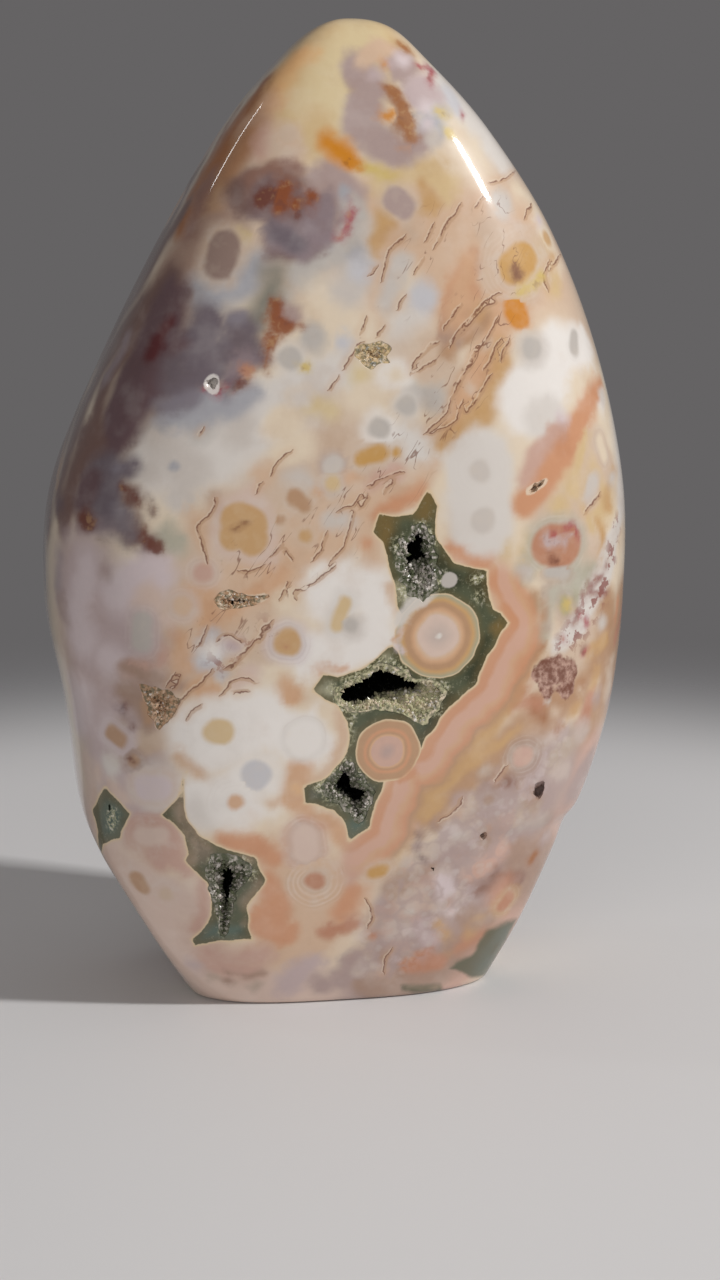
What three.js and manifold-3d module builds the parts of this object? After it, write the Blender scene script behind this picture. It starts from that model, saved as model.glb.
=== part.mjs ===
// A polished freeform of pink ocean jasper: one flame-shaped stone that stands on a flat foot.
// Hollows in its front are lined with crusts of small pointed quartz crystals.
// Millimetres, +Z up, the front faces -Y, and the origin is at the middle of the outline, on the foot's plane.

import * as THREE from 'three';
import { mergeVertices } from 'three/addons/utils/BufferGeometryUtils.js';
import Module from 'manifold-3d';

const wasm = await Module();
wasm.setup();

// Driving dimensions of the stone

// Level sections from the foot up. Each is a rounded oval between its left, right, front and back.
const SECTIONS = [
  { z: 0, left: -20.6, right: 20.0, front: -12.6, back: 12.5 },
  { z: 8, left: -27.6, right: 25.0, front: -15.4, back: 15.2 },
  { z: 17, left: -32.6, right: 28.6, front: -17.6, back: 17.4 },
  { z: 21, left: -33.2, right: 29.7, front: -18.4, back: 18.2 },
  { z: 24, left: -33.4, right: 32.2, front: -18.8, back: 18.8 },
  { z: 30, left: -33.8, right: 34.0, front: -19.4, back: 19.6 },
  { z: 38, left: -34.8, right: 35.4, front: -19.9, back: 20.2 },
  { z: 50, left: -36.8, right: 36.3, front: -20.0, back: 20.6 },
  { z: 64, left: -35.6, right: 36.0, front: -19.0, back: 19.6 },
  { z: 80, left: -28.9, right: 32.4, front: -16.4, back: 17.2 },
  { z: 95, left: -21.2, right: 26.3, front: -13.2, back: 13.8 },
  { z: 107, left: -14.0, right: 18.5, front: -9.8, back: 10.2 },
  { z: 115, left: -7.4, right: 11.2, front: -6.2, back: 6.6 },
  { z: 119, left: -2.6, right: 6.6, front: -3.0, back: 3.4 },
];
const TIP = { z: 120, left: 1.6, right: 1.6, front: 0.2, back: 0.2 };

// Flat facets ground on the lower left and the lower right, each by its outward normal and a point on it.
const FACETS = [
  { normal: new THREE.Vector3(-0.867, 0.03, -0.498), point: new THREE.Vector3(-19.9, 0, 0) },
  { normal: new THREE.Vector3(0.9, 0.02, -0.434), point: new THREE.Vector3(18.6, 0, 1) },
];
const FACET_EDGE_SHARPNESS = 40;
const OVAL_POWER_LEFT = 3.2;
const OVAL_POWER_RIGHT = 2.5;
const FOOT_EDGE_RADIUS = 0.6;
// The middle of the sections' outline, which the model is drawn round.
const MIDDLE_X = -0.2;
const MIDDLE_Y = 0.28;

const COLUMNS = 48;
const ROWS_PER_SECTION = 2;
const FOOT_EDGE_ROWS = 2;

// The hollows. Each mouth is an outline in X and Z on the front, and the hollow runs back along +Y.
const WALL_GAP = 0.4;
const CRUST_RECESS = 0.35;
const HOLLOWS = [
  {
    name: 'crystals_upper_hollow',
    mouth: [[5.8, 61.6], [4.2, 59.6], [4.1, 56.9], [5.2, 53.7], [7.4, 52.1], [8.5, 55.0], [7.7, 58.4], [7.1, 60.9]],
    front: -19.5,
    depth: 7,
    crust: 0.55,
    crystals: 17,
    crystalWidth: 0.75,
  },
  {
    name: 'crystals_centre_hollow',
    mouth: [
      [-3.7, 41.6], [-1.5, 43.2], [1.4, 44.6], [3.6, 44.3], [6.6, 42.7], [8.0, 40.8],
      [7.4, 38.2], [4.8, 37.1], [1.6, 37.9], [-1.6, 38.8], [-3.2, 39.9],
    ],
    front: -19.9,
    depth: 12,
    crust: 0.9,
    crystals: 30,
    crystalWidth: 0.95,
  },
  {
    name: 'crystals_lower_hollow',
    mouth: [[-3.9, 31.1], [-2.0, 31.9], [0.6, 30.6], [0.5, 27.9], [-0.8, 25.2], [-2.4, 26.2], [-4.3, 29.1]],
    front: -19.4,
    depth: 9,
    crust: 0.6,
    crystals: 15,
    crystalWidth: 0.8,
  },
  {
    name: 'crystals_base_hollow',
    mouth: [
      [-18.4, 20.3], [-16.2, 20.9], [-13.9, 19.2], [-14.7, 16.8], [-15.2, 13.6],
      [-16.0, 10.6], [-18.0, 10.6], [-18.3, 14.6], [-19.1, 17.9],
    ],
    front: -17.3,
    depth: 6,
    crust: 0.6,
    crystals: 17,
    crystalWidth: 0.8,
  },
  {
    name: 'crystals_left_pocket',
    mouth: [[-26.2, 42.2], [-24.6, 42.4], [-22.4, 40.3], [-24.7, 37.7], [-25.6, 39.4]],
    front: -18.0,
    depth: 2.6,
    crust: 0.45,
    crystals: 6,
    crystalWidth: 0.6,
  },
];
// Small open pits with no lining of their own.
const PITS = [
  { mouth: [[-17.5, 52.7], [-16.6, 53.6], [-12.0, 53.1], [-14.6, 52.0], [-16.9, 51.9]], front: -19.6, depth: 2.2 },
  { mouth: [[21.5, 28.1], [22.5, 28.4], [23.4, 27.0], [22.9, 25.9], [22.0, 26.4]], front: -16.0, depth: 2.5 },
];

const MOUTH_STEPS = 16;
const PIT_STEPS = 10;
const SPOKES_PER_STEP = 4;
const WELD = 1e-5;
const LEAD_OUT = 5;
const LEAST_WIDTH = 0.1;
// How a hollow narrows: the share of its depth, and the share of its mouth that is open there.
const NARROWING = [
  { depth: 0.0, open: 1.0 },
  { depth: 0.45, open: 0.92 },
  { depth: 0.8, open: 0.72 },
  { depth: 1.0, open: 0.4 },
];

// A crystal's lengths as shares of its width: the root in the lining, the prism that shows, and the point.
const CRYSTAL_SIDES = 6;
const CRYSTAL_ROOT = 0.8;
const CRYSTAL_PRISM = 0.35;
const CRYSTAL_POINT = 0.8;
const CRYSTAL_SIZE_SPREAD = 0.5;
const CRYSTAL_TILT_SPREAD = 0.5;
const CRYSTAL_LEAN_OUT = 0.35;
// The crystals stand between these shares of a hollow's depth, spread by steps that never line up.
const SHALLOWEST = 0.1;
const DEEPEST = 0.7;
const EVEN_SPREAD_STEP = 0.618;
const FIRST_SEED = 101;

// Turns rings of points into one closed solid, with a flat fan or a point over each end.
function solidFromRings(rings, firstEnd, lastEnd) {
  const sides = rings[0].length;
  const points = [...rings.flat(), firstEnd, lastEnd];
  const first = points.length - 2;
  const last = points.length - 1;
  const index = [];
  for (let side = 0; side < sides; side += 1) {
    const next = (side + 1) % sides;
    index.push(first, next, side);
    for (let ring = 0; ring < rings.length - 1; ring += 1) {
      const low = ring * sides;
      const high = low + sides;
      index.push(low + side, low + next, high + next);
      index.push(low + side, high + next, high + side);
    }
    const top = (rings.length - 1) * sides;
    index.push(last, top + side, top + next);
  }
  const geometry = new THREE.BufferGeometry().setFromPoints(points);
  geometry.setIndex(index);
  return geometry;
}

function toSolid(geometry) {
  const merged = mergeVertices(geometry, WELD);
  const vertProperties = new Float32Array(merged.attributes.position.array);
  const triVerts = new Uint32Array(merged.index.array);
  return new wasm.Manifold(new wasm.Mesh({ numProp: 3, vertProperties, triVerts }));
}

function toMesh(solid, name, material) {
  const { vertProperties, triVerts } = solid.getMesh();
  const geometry = new THREE.BufferGeometry();
  geometry.setAttribute('position', new THREE.BufferAttribute(vertProperties, 3));
  geometry.setIndex(new THREE.BufferAttribute(triVerts, 1));
  geometry.computeVertexNormals();
  const mesh = new THREE.Mesh(geometry, material);
  mesh.name = name;
  return mesh;
}

// One value of a Catmull-Rom curve between its second and third number.
function catmullRom(before, from, to, after, t) {
  const rise = to - before;
  const bend = 2 * before - 5 * from + 4 * to - after;
  const twist = -before + 3 * from - 3 * to + after;
  return 0.5 * (2 * from + rise * t + bend * t ** 2 + twist * t ** 3);
}

// The section at a place between two of the given ones. Past the tip the curve levels off, which rounds it.
function sectionAt(place) {
  const all = [...SECTIONS, TIP];
  const from = Math.min(Math.floor(place), all.length - 2);
  const t = place - from;
  const section = {};
  for (const key of Object.keys(TIP)) {
    const value = all[from][key];
    const next = all[from + 1][key];
    const before = from > 0 ? all[from - 1][key] : 2 * value - next;
    const mirrored = key === 'z' ? value : 2 * next - value;
    const after = from + 2 < all.length ? all[from + 2][key] : mirrored;
    section[key] = catmullRom(before, value, next, after, t);
  }
  return section;
}

// How far the outline of a section reaches along one level direction, cut short by the facets.
function reach(section, halfWidth, halfDepth, direction) {
  const power = direction.x < 0 ? OVAL_POWER_LEFT : OVAL_POWER_RIGHT;
  const oval = (Math.abs(direction.x) / halfWidth) ** power + (Math.abs(direction.y) / halfDepth) ** power;
  const free = oval ** (-1 / power);
  const middle = new THREE.Vector3(
    (section.left + section.right) / 2,
    (section.front + section.back) / 2,
    section.z,
  );
  let sum = free ** -FACET_EDGE_SHARPNESS;
  for (const { normal, point } of FACETS) {
    const facing = normal.dot(direction);
    if (facing > 0) {
      const room = normal.dot(point) - normal.dot(middle);
      sum += (room / facing) ** -FACET_EDGE_SHARPNESS;
    }
  }
  return sum ** (-1 / FACET_EDGE_SHARPNESS);
}

// How far the rounded edge of the foot draws the outline in at a height.
function footInset(z) {
  const below = Math.max(0, FOOT_EDGE_RADIUS - z);
  return FOOT_EDGE_RADIUS - Math.sqrt(FOOT_EDGE_RADIUS ** 2 - below ** 2);
}

function sectionRing(section, inset) {
  const halfWidth = (section.right - section.left) / 2;
  const halfDepth = (section.back - section.front) / 2;
  const ring = [];
  for (let column = 0; column < COLUMNS; column += 1) {
    const angle = (column / COLUMNS) * Math.PI * 2;
    const direction = new THREE.Vector3(halfWidth * Math.cos(angle), halfDepth * Math.sin(angle), 0).normalize();
    const distance = reach(section, halfWidth, halfDepth, direction) - inset - footInset(section.z);
    ring.push(new THREE.Vector3(
      (section.left + section.right) / 2 + distance * direction.x - MIDDLE_X,
      (section.front + section.back) / 2 + distance * direction.y - MIDDLE_Y,
      section.z,
    ));
  }
  return ring;
}

// The places of the rows: a few close ones round the foot's edge, then even steps up to the tip.
function rowPlaces() {
  const places = [];
  const edgeTop = FOOT_EDGE_RADIUS / SECTIONS[1].z;
  for (let row = 0; row <= FOOT_EDGE_ROWS; row += 1) {
    places.push((edgeTop * row) / FOOT_EDGE_ROWS);
  }
  const rows = SECTIONS.length * ROWS_PER_SECTION;
  for (let row = 1; row < rows; row += 1) {
    places.push(row / ROWS_PER_SECTION);
  }
  return places;
}

function stoneForm(inset) {
  const rings = rowPlaces().map((place) => sectionRing(sectionAt(place), inset));
  const foot = new THREE.Vector3(0, 0, 0);
  const tip = new THREE.Vector3(TIP.left - MIDDLE_X, TIP.front - MIDDLE_Y, TIP.z - inset);
  return toSolid(solidFromRings(rings, foot, tip));
}

// The mouth's outline as a smooth closed curve: its middle, and spokes from there, in order round +Y.
function mouthOutline(mouth, steps) {
  const corners = mouth.map(([x, z]) => new THREE.Vector3(x, 0, z));
  const middle = new THREE.Vector3();
  corners.forEach((corner) => middle.add(corner));
  middle.divideScalar(corners.length);
  const curve = new THREE.CatmullRomCurve3(corners, true);
  const spokes = curve.getSpacedPoints(steps).slice(0, steps).map((point) => point.sub(middle));
  spokes.sort((one, other) => Math.atan2(one.x, one.z) - Math.atan2(other.x, other.z));
  return { middle, spokes };
}

// The share of a hollow's mouth that is open at a share of its depth.
function openAt(depthShare) {
  const deeper = NARROWING.findIndex((level) => level.depth >= depthShare);
  const below = NARROWING[deeper];
  const above = NARROWING[deeper - 1];
  const t = (depthShare - above.depth) / (below.depth - above.depth);
  return THREE.MathUtils.lerp(above.open, below.open, t);
}

// A closed cup in the shape of a hollow, kept clear of the hollow's wall by a margin all round.
function cup({ mouth, front, depth }, margin, steps) {
  const { middle, spokes } = mouthOutline(mouth, steps);
  const ringAt = (y, open) => spokes.map((spoke) => {
    const distance = Math.max(LEAST_WIDTH, spoke.length() * open - margin);
    return spoke.clone().setLength(distance).add(middle).setY(y);
  });
  const rings = [ringAt(front - LEAD_OUT, 1)];
  for (const level of NARROWING) {
    rings.push(ringAt(front + level.depth * (depth - margin), level.open));
  }
  const start = middle.clone().setY(front - LEAD_OUT);
  const end = middle.clone().setY(front + depth - margin);
  return toSolid(solidFromRings(rings, start, end));
}

// A small generator of even numbers from 0 to 1 that always gives the same run.
function seededRandom(seed) {
  let state = seed;
  return () => {
    state = (state * 16807) % 2147483647;
    return state / 2147483647;
  };
}

// One quartz crystal: a six-sided prism that ends in a six-sided point.
function crystal(width, foot, direction) {
  const ringAt = (along) => {
    const ring = [];
    for (let side = 0; side < CRYSTAL_SIDES; side += 1) {
      const angle = (side / CRYSTAL_SIDES) * Math.PI * 2;
      ring.push(new THREE.Vector3((width / 2) * Math.cos(angle), (width / 2) * Math.sin(angle), along));
    }
    return ring;
  };
  const rings = [ringAt(-width * CRYSTAL_ROOT), ringAt(width * CRYSTAL_PRISM)];
  const root = new THREE.Vector3(0, 0, -width * CRYSTAL_ROOT);
  const point = new THREE.Vector3(0, 0, width * (CRYSTAL_PRISM + CRYSTAL_POINT));
  const geometry = solidFromRings(rings, root, point);
  geometry.applyQuaternion(new THREE.Quaternion().setFromUnitVectors(new THREE.Vector3(0, 0, 1), direction));
  geometry.translate(foot.x, foot.y, foot.z);
  return toSolid(geometry);
}

// The crystals of one hollow, rooted in its lining and leaning inward and toward the mouth.
function crystalsOn(hollow, random) {
  const { middle, spokes } = mouthOutline(hollow.mouth, MOUTH_STEPS * SPOKES_PER_STEP);
  const crystals = [];
  for (let count = 0; count < hollow.crystals; count += 1) {
    const spoke = spokes[Math.floor(((count + random()) / hollow.crystals) * spokes.length) % spokes.length];
    const depthShare = SHALLOWEST + (DEEPEST - SHALLOWEST) * ((count * EVEN_SPREAD_STEP) % 1);
    const distance = spoke.length() * openAt(depthShare) - WALL_GAP - hollow.crust;
    const foot = spoke.clone().setLength(distance).add(middle).setY(hollow.front + depthShare * hollow.depth);
    const direction = spoke.clone().negate().normalize();
    direction.y = -CRYSTAL_LEAN_OUT - CRYSTAL_TILT_SPREAD * random();
    direction.x += CRYSTAL_TILT_SPREAD * (random() - 0.5);
    direction.z += CRYSTAL_TILT_SPREAD * (random() - 0.5);
    const width = hollow.crystalWidth * (1 + CRYSTAL_SIZE_SPREAD * (random() - 0.5));
    crystals.push(crystal(width, foot, direction.normalize()));
  }
  return crystals;
}

// The largest of a solid's separate bodies, which leaves out pockets sealed in between crystals.
function mainBody(solid) {
  return solid.decompose().reduce((best, body) => (body.volume() > best.volume() ? body : best));
}

// The crust of one hollow: a thin open cup with crystals fused to its inside, just below the polished face.
function crustOf(hollow, limit, seed) {
  const lining = cup(hollow, WALL_GAP, MOUTH_STEPS).subtract(cup(hollow, WALL_GAP + hollow.crust, MOUTH_STEPS));
  const [first, ...others] = crystalsOn(hollow, seededRandom(seed));
  const crystals = others.reduce((joined, point) => joined.add(point), first);
  const trimmed = crystals.intersect(cup(hollow, WALL_GAP + hollow.crust / 2, MOUTH_STEPS));
  return mainBody(lining.add(trimmed).intersect(limit));
}

const stoneMaterial = new THREE.MeshStandardMaterial({ color: 0xd2a993, roughness: 0.12, metalness: 0 });
const crystalMaterial = new THREE.MeshStandardMaterial({ color: 0x8b9477, roughness: 0.3, metalness: 0 });
crystalMaterial.flatShading = true;

const part = new THREE.Group();

let stone = stoneForm(0);
for (const hollow of HOLLOWS) {
  stone = stone.subtract(cup(hollow, 0, MOUTH_STEPS));
}
for (const pit of PITS) {
  stone = stone.subtract(cup(pit, 0, PIT_STEPS));
}
part.add(toMesh(stone, 'stone', stoneMaterial));

const belowFace = stoneForm(CRUST_RECESS);
HOLLOWS.forEach((hollow, order) => {
  part.add(toMesh(crustOf(hollow, belowFace, FIRST_SEED + order), hollow.name, crystalMaterial));
});

export default part;
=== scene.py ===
# %% [markdown]
# # A polished freeform of pink ocean jasper
#
# Ocean jasper is chalcedony, quartz in grains too fine to see. It grew as small spheres, shell by shell, and
# iron and manganese stained the shells pink, ochre, plum and white. Where the spheres left room, green
# chalcedony filled in, and the last gaps stayed open and grew a sugar of tiny quartz crystals. A cutter
# ground one piece into a flame with a flat foot and polished it.
#
# The measured solids come first. Everything made here goes round them, in the same frame, in metres.

# %% Load the measured solids
import math

import bpy
import numpy as np
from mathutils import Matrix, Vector
from mathutils.bvhtree import BVHTree


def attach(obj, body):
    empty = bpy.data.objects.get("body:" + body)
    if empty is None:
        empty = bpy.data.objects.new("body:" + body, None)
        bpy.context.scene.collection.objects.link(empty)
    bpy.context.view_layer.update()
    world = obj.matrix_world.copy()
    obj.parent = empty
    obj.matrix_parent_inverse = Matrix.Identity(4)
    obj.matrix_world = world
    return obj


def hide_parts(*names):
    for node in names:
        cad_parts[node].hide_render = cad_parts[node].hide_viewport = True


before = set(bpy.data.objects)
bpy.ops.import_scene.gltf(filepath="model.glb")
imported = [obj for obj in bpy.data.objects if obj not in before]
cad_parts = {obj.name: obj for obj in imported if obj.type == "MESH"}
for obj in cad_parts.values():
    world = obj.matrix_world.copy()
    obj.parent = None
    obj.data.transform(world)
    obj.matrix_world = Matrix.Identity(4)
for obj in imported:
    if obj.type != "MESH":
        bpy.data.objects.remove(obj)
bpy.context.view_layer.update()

MM = 0.001
print("measured solids:", sorted(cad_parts))

# %% [markdown]
# ## The camera
#
# A marking on a flat photograph has to land on a round stone. One way is to place each marking by eye until
# the two pictures agree. It is quicker to set the camera first, where the photographer stood, because then
# the line from the lens through any pixel meets the stone at that marking's own place. The stone has no
# straight edges, so the lens was found from its outline: a long lens, about a third of a metre away, looking
# a little down.

# %% Set the camera
PHOTO_WIDTH = 720
PHOTO_HEIGHT = 1280
FOCAL_PIXELS = 2740
SENSOR_MM = 36
CAMERA_TURN = math.radians(-10)
CAMERA_TILT = math.radians(12)
CAMERA_DISTANCE = 346
CAMERA_AIM = np.array([3.0, -0.28, 43.3])


def camera_axes(turn, tilt):
    """The camera's right, up and backward directions."""
    back = np.array([
        math.sin(turn) * math.cos(tilt),
        -math.cos(turn) * math.cos(tilt),
        math.sin(tilt),
    ])
    right = np.array([math.cos(turn), math.sin(turn), 0.0])
    return right, np.cross(back, right), back


RIGHT, UP, BACK = camera_axes(CAMERA_TURN, CAMERA_TILT)
CAMERA_PLACE = CAMERA_AIM + CAMERA_DISTANCE * BACK


def make_camera():
    data = bpy.data.cameras.new("camera")
    data.sensor_width = SENSOR_MM
    data.lens = FOCAL_PIXELS / PHOTO_HEIGHT * SENSOR_MM
    data.clip_start = 0.01
    camera = bpy.data.objects.new("camera", data)
    bpy.context.scene.collection.objects.link(camera)
    camera.location = CAMERA_PLACE * MM
    camera.rotation_mode = "QUATERNION"
    camera.rotation_quaternion = Vector(-BACK).to_track_quat("-Z", "Y")
    bpy.context.scene.camera = camera
    return camera


camera = make_camera()
print("lens", round(camera.data.lens, 2), "mm, at", np.round(CAMERA_PLACE, 1), "mm")


# %% Go from a pixel to a line, and from points to pixels
def photo_direction(x, y):
    """The direction from the lens through a pixel."""
    across = (x - PHOTO_WIDTH / 2) / FOCAL_PIXELS
    above = (PHOTO_HEIGHT / 2 - y) / FOCAL_PIXELS
    direction = -BACK + RIGHT * across + UP * above
    return direction / np.linalg.norm(direction)


def photo_pixels(points):
    """The pixels that points in millimetres fall on, as an array of x and y."""
    offset = points - CAMERA_PLACE
    scale = FOCAL_PIXELS / (offset @ -BACK)
    x = PHOTO_WIDTH / 2 + (offset @ RIGHT) * scale
    y = PHOTO_HEIGHT / 2 - (offset @ UP) * scale
    return np.column_stack([x, y])


# %% [markdown]
# ## The stone's form
#
# A stone like this is ground freehand on a wheel, so it has no exact rule. It could be sculpted, or carved
# from a subdivided block. The measured solid already says how wide and deep it is at fifteen heights, so the
# same sections are run through a smooth curve again, with far more rows and columns. The front gets most
# columns, because the markings are read from the mesh points, and a fine mesh carries fine markings.

# %% Sections of the stone, in millimetres
# Each row is a height and how far the stone reaches to the left, right, front and back there.
SECTIONS = np.array([
    [0, -20.6, 20.0, -12.6, 12.5],
    [8, -27.6, 25.0, -15.4, 15.2],
    [17, -32.6, 28.6, -17.6, 17.4],
    [21, -33.2, 29.7, -18.4, 18.2],
    [24, -33.4, 32.2, -18.8, 18.8],
    [30, -33.8, 34.0, -19.4, 19.6],
    [38, -34.8, 35.4, -19.9, 20.2],
    [50, -36.8, 36.3, -20.0, 20.6],
    [64, -35.6, 36.0, -19.0, 19.6],
    [80, -28.9, 32.4, -16.4, 17.2],
    [95, -21.2, 26.3, -13.2, 13.8],
    [107, -14.0, 18.5, -9.8, 10.2],
    [115, -7.4, 11.2, -6.2, 6.6],
    [119, -2.6, 6.6, -3.0, 3.4],
    [120, 1.6, 1.6, 0.2, 0.2],
])
# Two flat facets on the lower sides, each by its outward normal and a point on it.
FACETS = [
    (np.array([-0.867, 0.03, -0.498]), np.array([-19.9, 0.0, 0.0])),
    (np.array([0.9, 0.02, -0.434]), np.array([18.6, 0.0, 1.0])),
]
FACET_EDGE_SHARPNESS = 40
OVAL_POWER_LEFT = 3.2
OVAL_POWER_RIGHT = 2.5
FOOT_EDGE_RADIUS = 0.6
MIDDLE = np.array([-0.2, 0.28, 0.0])


def curve_between(before, here, there, after, share):
    """Points at shares of the way along a Catmull-Rom curve between the two middle points of four."""
    rise = there - before
    bend = 2 * before - 5 * here + 4 * there - after
    twist = 3 * here - before - 3 * there + after
    return 0.5 * (2 * here + rise * share + bend * share**2 + twist * share**3)


def sections_at(places):
    """Curves through the sections. Past the tip the height levels off, which rounds the tip."""
    below = 2 * SECTIONS[0] - SECTIONS[1]
    beyond = 2 * SECTIONS[-1] - SECTIONS[-2]
    beyond[0] = SECTIONS[-2][0]
    rows = np.vstack([below, SECTIONS, beyond])
    start = np.minimum(places.astype(int), len(SECTIONS) - 2)
    four = [rows[start + step] for step in range(4)]
    return curve_between(*four, (places - start)[:, None])


# %% Slow waves
WAVES = 9


def slow_waves(points, wavelength, seed):
    """A smooth random value, mostly from -1 to 1, at each point: a few sine waves in random directions."""
    random = np.random.default_rng(seed)
    directions = random.normal(size=(3, WAVES))
    directions /= np.linalg.norm(directions, axis=0)
    stretch = random.uniform(0.7, 1.4, WAVES)
    phase = random.uniform(0, 2 * math.pi, WAVES)
    turns = points @ directions * (2 * math.pi / wavelength) * stretch + phase
    return np.sin(turns).sum(axis=1) / math.sqrt(WAVES)


# %% Rows and columns of points
ROW_STEP = 0.405
FRONT_COLUMNS = 198
BACK_COLUMNS = 66
FOOT_EDGE_STEPS = 4
OUTLINE_SAMPLES = 4001


def row_places():
    """Places of the rows, so that neighbours are about one row step apart along the outline."""
    fine = np.linspace(0, len(SECTIONS) - 1, OUTLINE_SAMPLES)
    shape = sections_at(fine)
    half_width = (shape[:, 2] - shape[:, 1]) / 2
    along = np.hypot(np.diff(shape[:, 0]), np.diff(half_width)).cumsum()
    along = np.concatenate([[0], along])
    turns = np.linspace(0, math.pi / 2, FOOT_EDGE_STEPS, endpoint=False)
    edge = FOOT_EDGE_RADIUS * (1 - np.cos(turns))
    steps = np.arange(FOOT_EDGE_RADIUS, along[-1] - ROW_STEP / 2, ROW_STEP)
    return np.interp(np.concatenate([edge, steps]), along, fine)


def column_angles():
    """Angles round the stone, close together on the front, where the sine is negative."""
    front = math.pi * (1 + np.arange(FRONT_COLUMNS) / FRONT_COLUMNS)
    back = math.pi * np.arange(BACK_COLUMNS) / BACK_COLUMNS
    return np.concatenate([back, front])


print("rows and columns:", len(row_places()), len(column_angles()))

# %% Rings of points round the stone
SKIN = 0.12
RIPPLE = 0.07
RIPPLE_WAVELENGTH = 26
# Below this height the ripple dies away, so that the foot stays flat.
RIPPLE_FROM = 6
TINY = 1e-6


def outline_reach(section, direction_x, direction_y, half_width, half_depth):
    """How far each section's outline reaches in each direction, cut short by the facets."""
    height, left, right, front, back = section
    power = np.where(direction_x < 0, OVAL_POWER_LEFT, OVAL_POWER_RIGHT)
    oval = (np.abs(direction_x) / half_width) ** power + (np.abs(direction_y) / half_depth) ** power
    total = oval ** (FACET_EDGE_SHARPNESS / power)
    for normal, point in FACETS:
        middle_room = (left + right) / 2 * normal[0] + (front + back) / 2 * normal[1] + height * normal[2]
        facing = normal[0] * direction_x + normal[1] * direction_y
        room = (normal @ point - middle_room) / np.maximum(facing, TINY)
        total += np.where(facing > 0, room, np.inf) ** -FACET_EDGE_SHARPNESS
    return total ** (-1 / FACET_EDGE_SHARPNESS)


def stone_rings(places, angles):
    """The points of every ring, as rows by columns by 3, in millimetres."""
    section = [value[:, None] for value in sections_at(places).T]
    height, left, right, front, back = section
    half_width = (right - left) / 2
    half_depth = (back - front) / 2
    direction_x = half_width * np.cos(angles)
    direction_y = half_depth * np.sin(angles)
    length = np.hypot(direction_x, direction_y)
    direction_x = direction_x / length
    direction_y = direction_y / length
    reach = outline_reach(section, direction_x, direction_y, half_width, half_depth)
    below_edge = np.maximum(0, FOOT_EDGE_RADIUS - height)
    foot_inset = FOOT_EDGE_RADIUS - np.sqrt(FOOT_EDGE_RADIUS**2 - below_edge**2)
    reach = reach - SKIN - foot_inset
    x = (left + right) / 2 + reach * direction_x
    y = (front + back) / 2 + reach * direction_y
    z = np.broadcast_to(height, x.shape)
    return np.stack([x, y, z], axis=-1) - MIDDLE


def ripple(points):
    """Draws points towards the stone's middle line by slow waves, as a hand polish leaves them."""
    strength = np.clip(points[:, 2] / RIPPLE_FROM, 0, 1)
    wave = slow_waves(points, RIPPLE_WAVELENGTH, seed=3)
    depth = RIPPLE * (1 + np.clip(wave, -1, 1)) * strength
    level = points * [1, 1, 0]
    away = level / np.maximum(np.linalg.norm(level, axis=1), 1)[:, None]
    return points - away * depth[:, None]


# %% Triangles between rings
def ring_faces(rings, columns, first=0):
    """Triangles between neighbouring closed rings of points."""
    column = np.arange(columns)
    after = (column + 1) % columns
    faces = []
    for ring in range(rings - 1):
        low = first + ring * columns
        high = low + columns
        faces.append(np.column_stack([low + column, low + after, high + after]))
        faces.append(np.column_stack([low + column, high + after, high + column]))
    return np.vstack(faces)


def end_fan(ring, columns, end, facing_up):
    """Triangles from a ring's points to one end point."""
    column = ring * columns + np.arange(columns)
    after = ring * columns + (np.arange(columns) + 1) % columns
    fan = [column, after, np.full(columns, end)]
    if not facing_up:
        fan = [after, column, np.full(columns, end)]
    return np.column_stack(fan)


def closed_faces(rings, columns):
    """Triangles of a closed stack of rings, whose last two points are its lower and its upper end."""
    lower_end = rings * columns
    return np.vstack([
        ring_faces(rings, columns),
        end_fan(0, columns, lower_end, facing_up=False),
        end_fan(rings - 1, columns, lower_end + 1, facing_up=True),
    ])


# %% Build the stone
FOOT_RINGS = 5
INNER_FOOT_RING = 0.1


def stone_mesh_data():
    angles = column_angles()
    rings = stone_rings(row_places(), angles)
    shares = np.linspace(INNER_FOOT_RING, 1, FOOT_RINGS, endpoint=False)[:, None, None]
    foot = rings[0][None] * np.concatenate([shares, shares, shares * 0], axis=-1)
    rings = np.concatenate([foot, rings])
    columns = len(angles)
    points = ripple(rings.reshape(-1, 3))
    tip = SECTIONS[-1][[1, 3, 0]] - MIDDLE
    points = np.vstack([points, [0, 0, 0], tip])
    points[:, 2] *= 1 - SKIN / tip[2]
    return points, closed_faces(len(rings), columns)


def add_mesh(name, points, faces):
    """A new object from points in millimetres and faces."""
    mesh = bpy.data.meshes.new(name)
    mesh.from_pydata((np.asarray(points) * MM).tolist(), [], np.asarray(faces).tolist())
    mesh.update()
    piece = bpy.data.objects.new(name, mesh)
    bpy.context.scene.collection.objects.link(piece)
    return piece


stone_points, stone_faces = stone_mesh_data()
stone = add_mesh("polished_stone", stone_points, stone_faces)
FACE_TREE = BVHTree.FromPolygons(stone_points.tolist(), stone_faces.tolist())
print("stone:", len(stone_points), "points,", len(stone_faces), "triangles")


# %% Find the place on the stone behind a pixel
def on_stone(start, direction, guess):
    """Where a line meets the stone, or the place nearest to a guess if it misses, and the normal there."""
    hit, normal, _, _ = FACE_TREE.ray_cast(Vector(start), Vector(direction))
    if hit is None:
        hit, normal, _, _ = FACE_TREE.find_nearest(Vector(guess))
    return np.array(hit), np.array(normal)


def photo_point(x, y):
    """The point on the stone behind a pixel and the outward normal there, in millimetres."""
    direction = photo_direction(x, y)
    return on_stone(CAMERA_PLACE, direction, CAMERA_PLACE + direction * CAMERA_DISTANCE)


print("middle of the target orb:", np.round(photo_point(438, 636)[0], 2))

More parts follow.
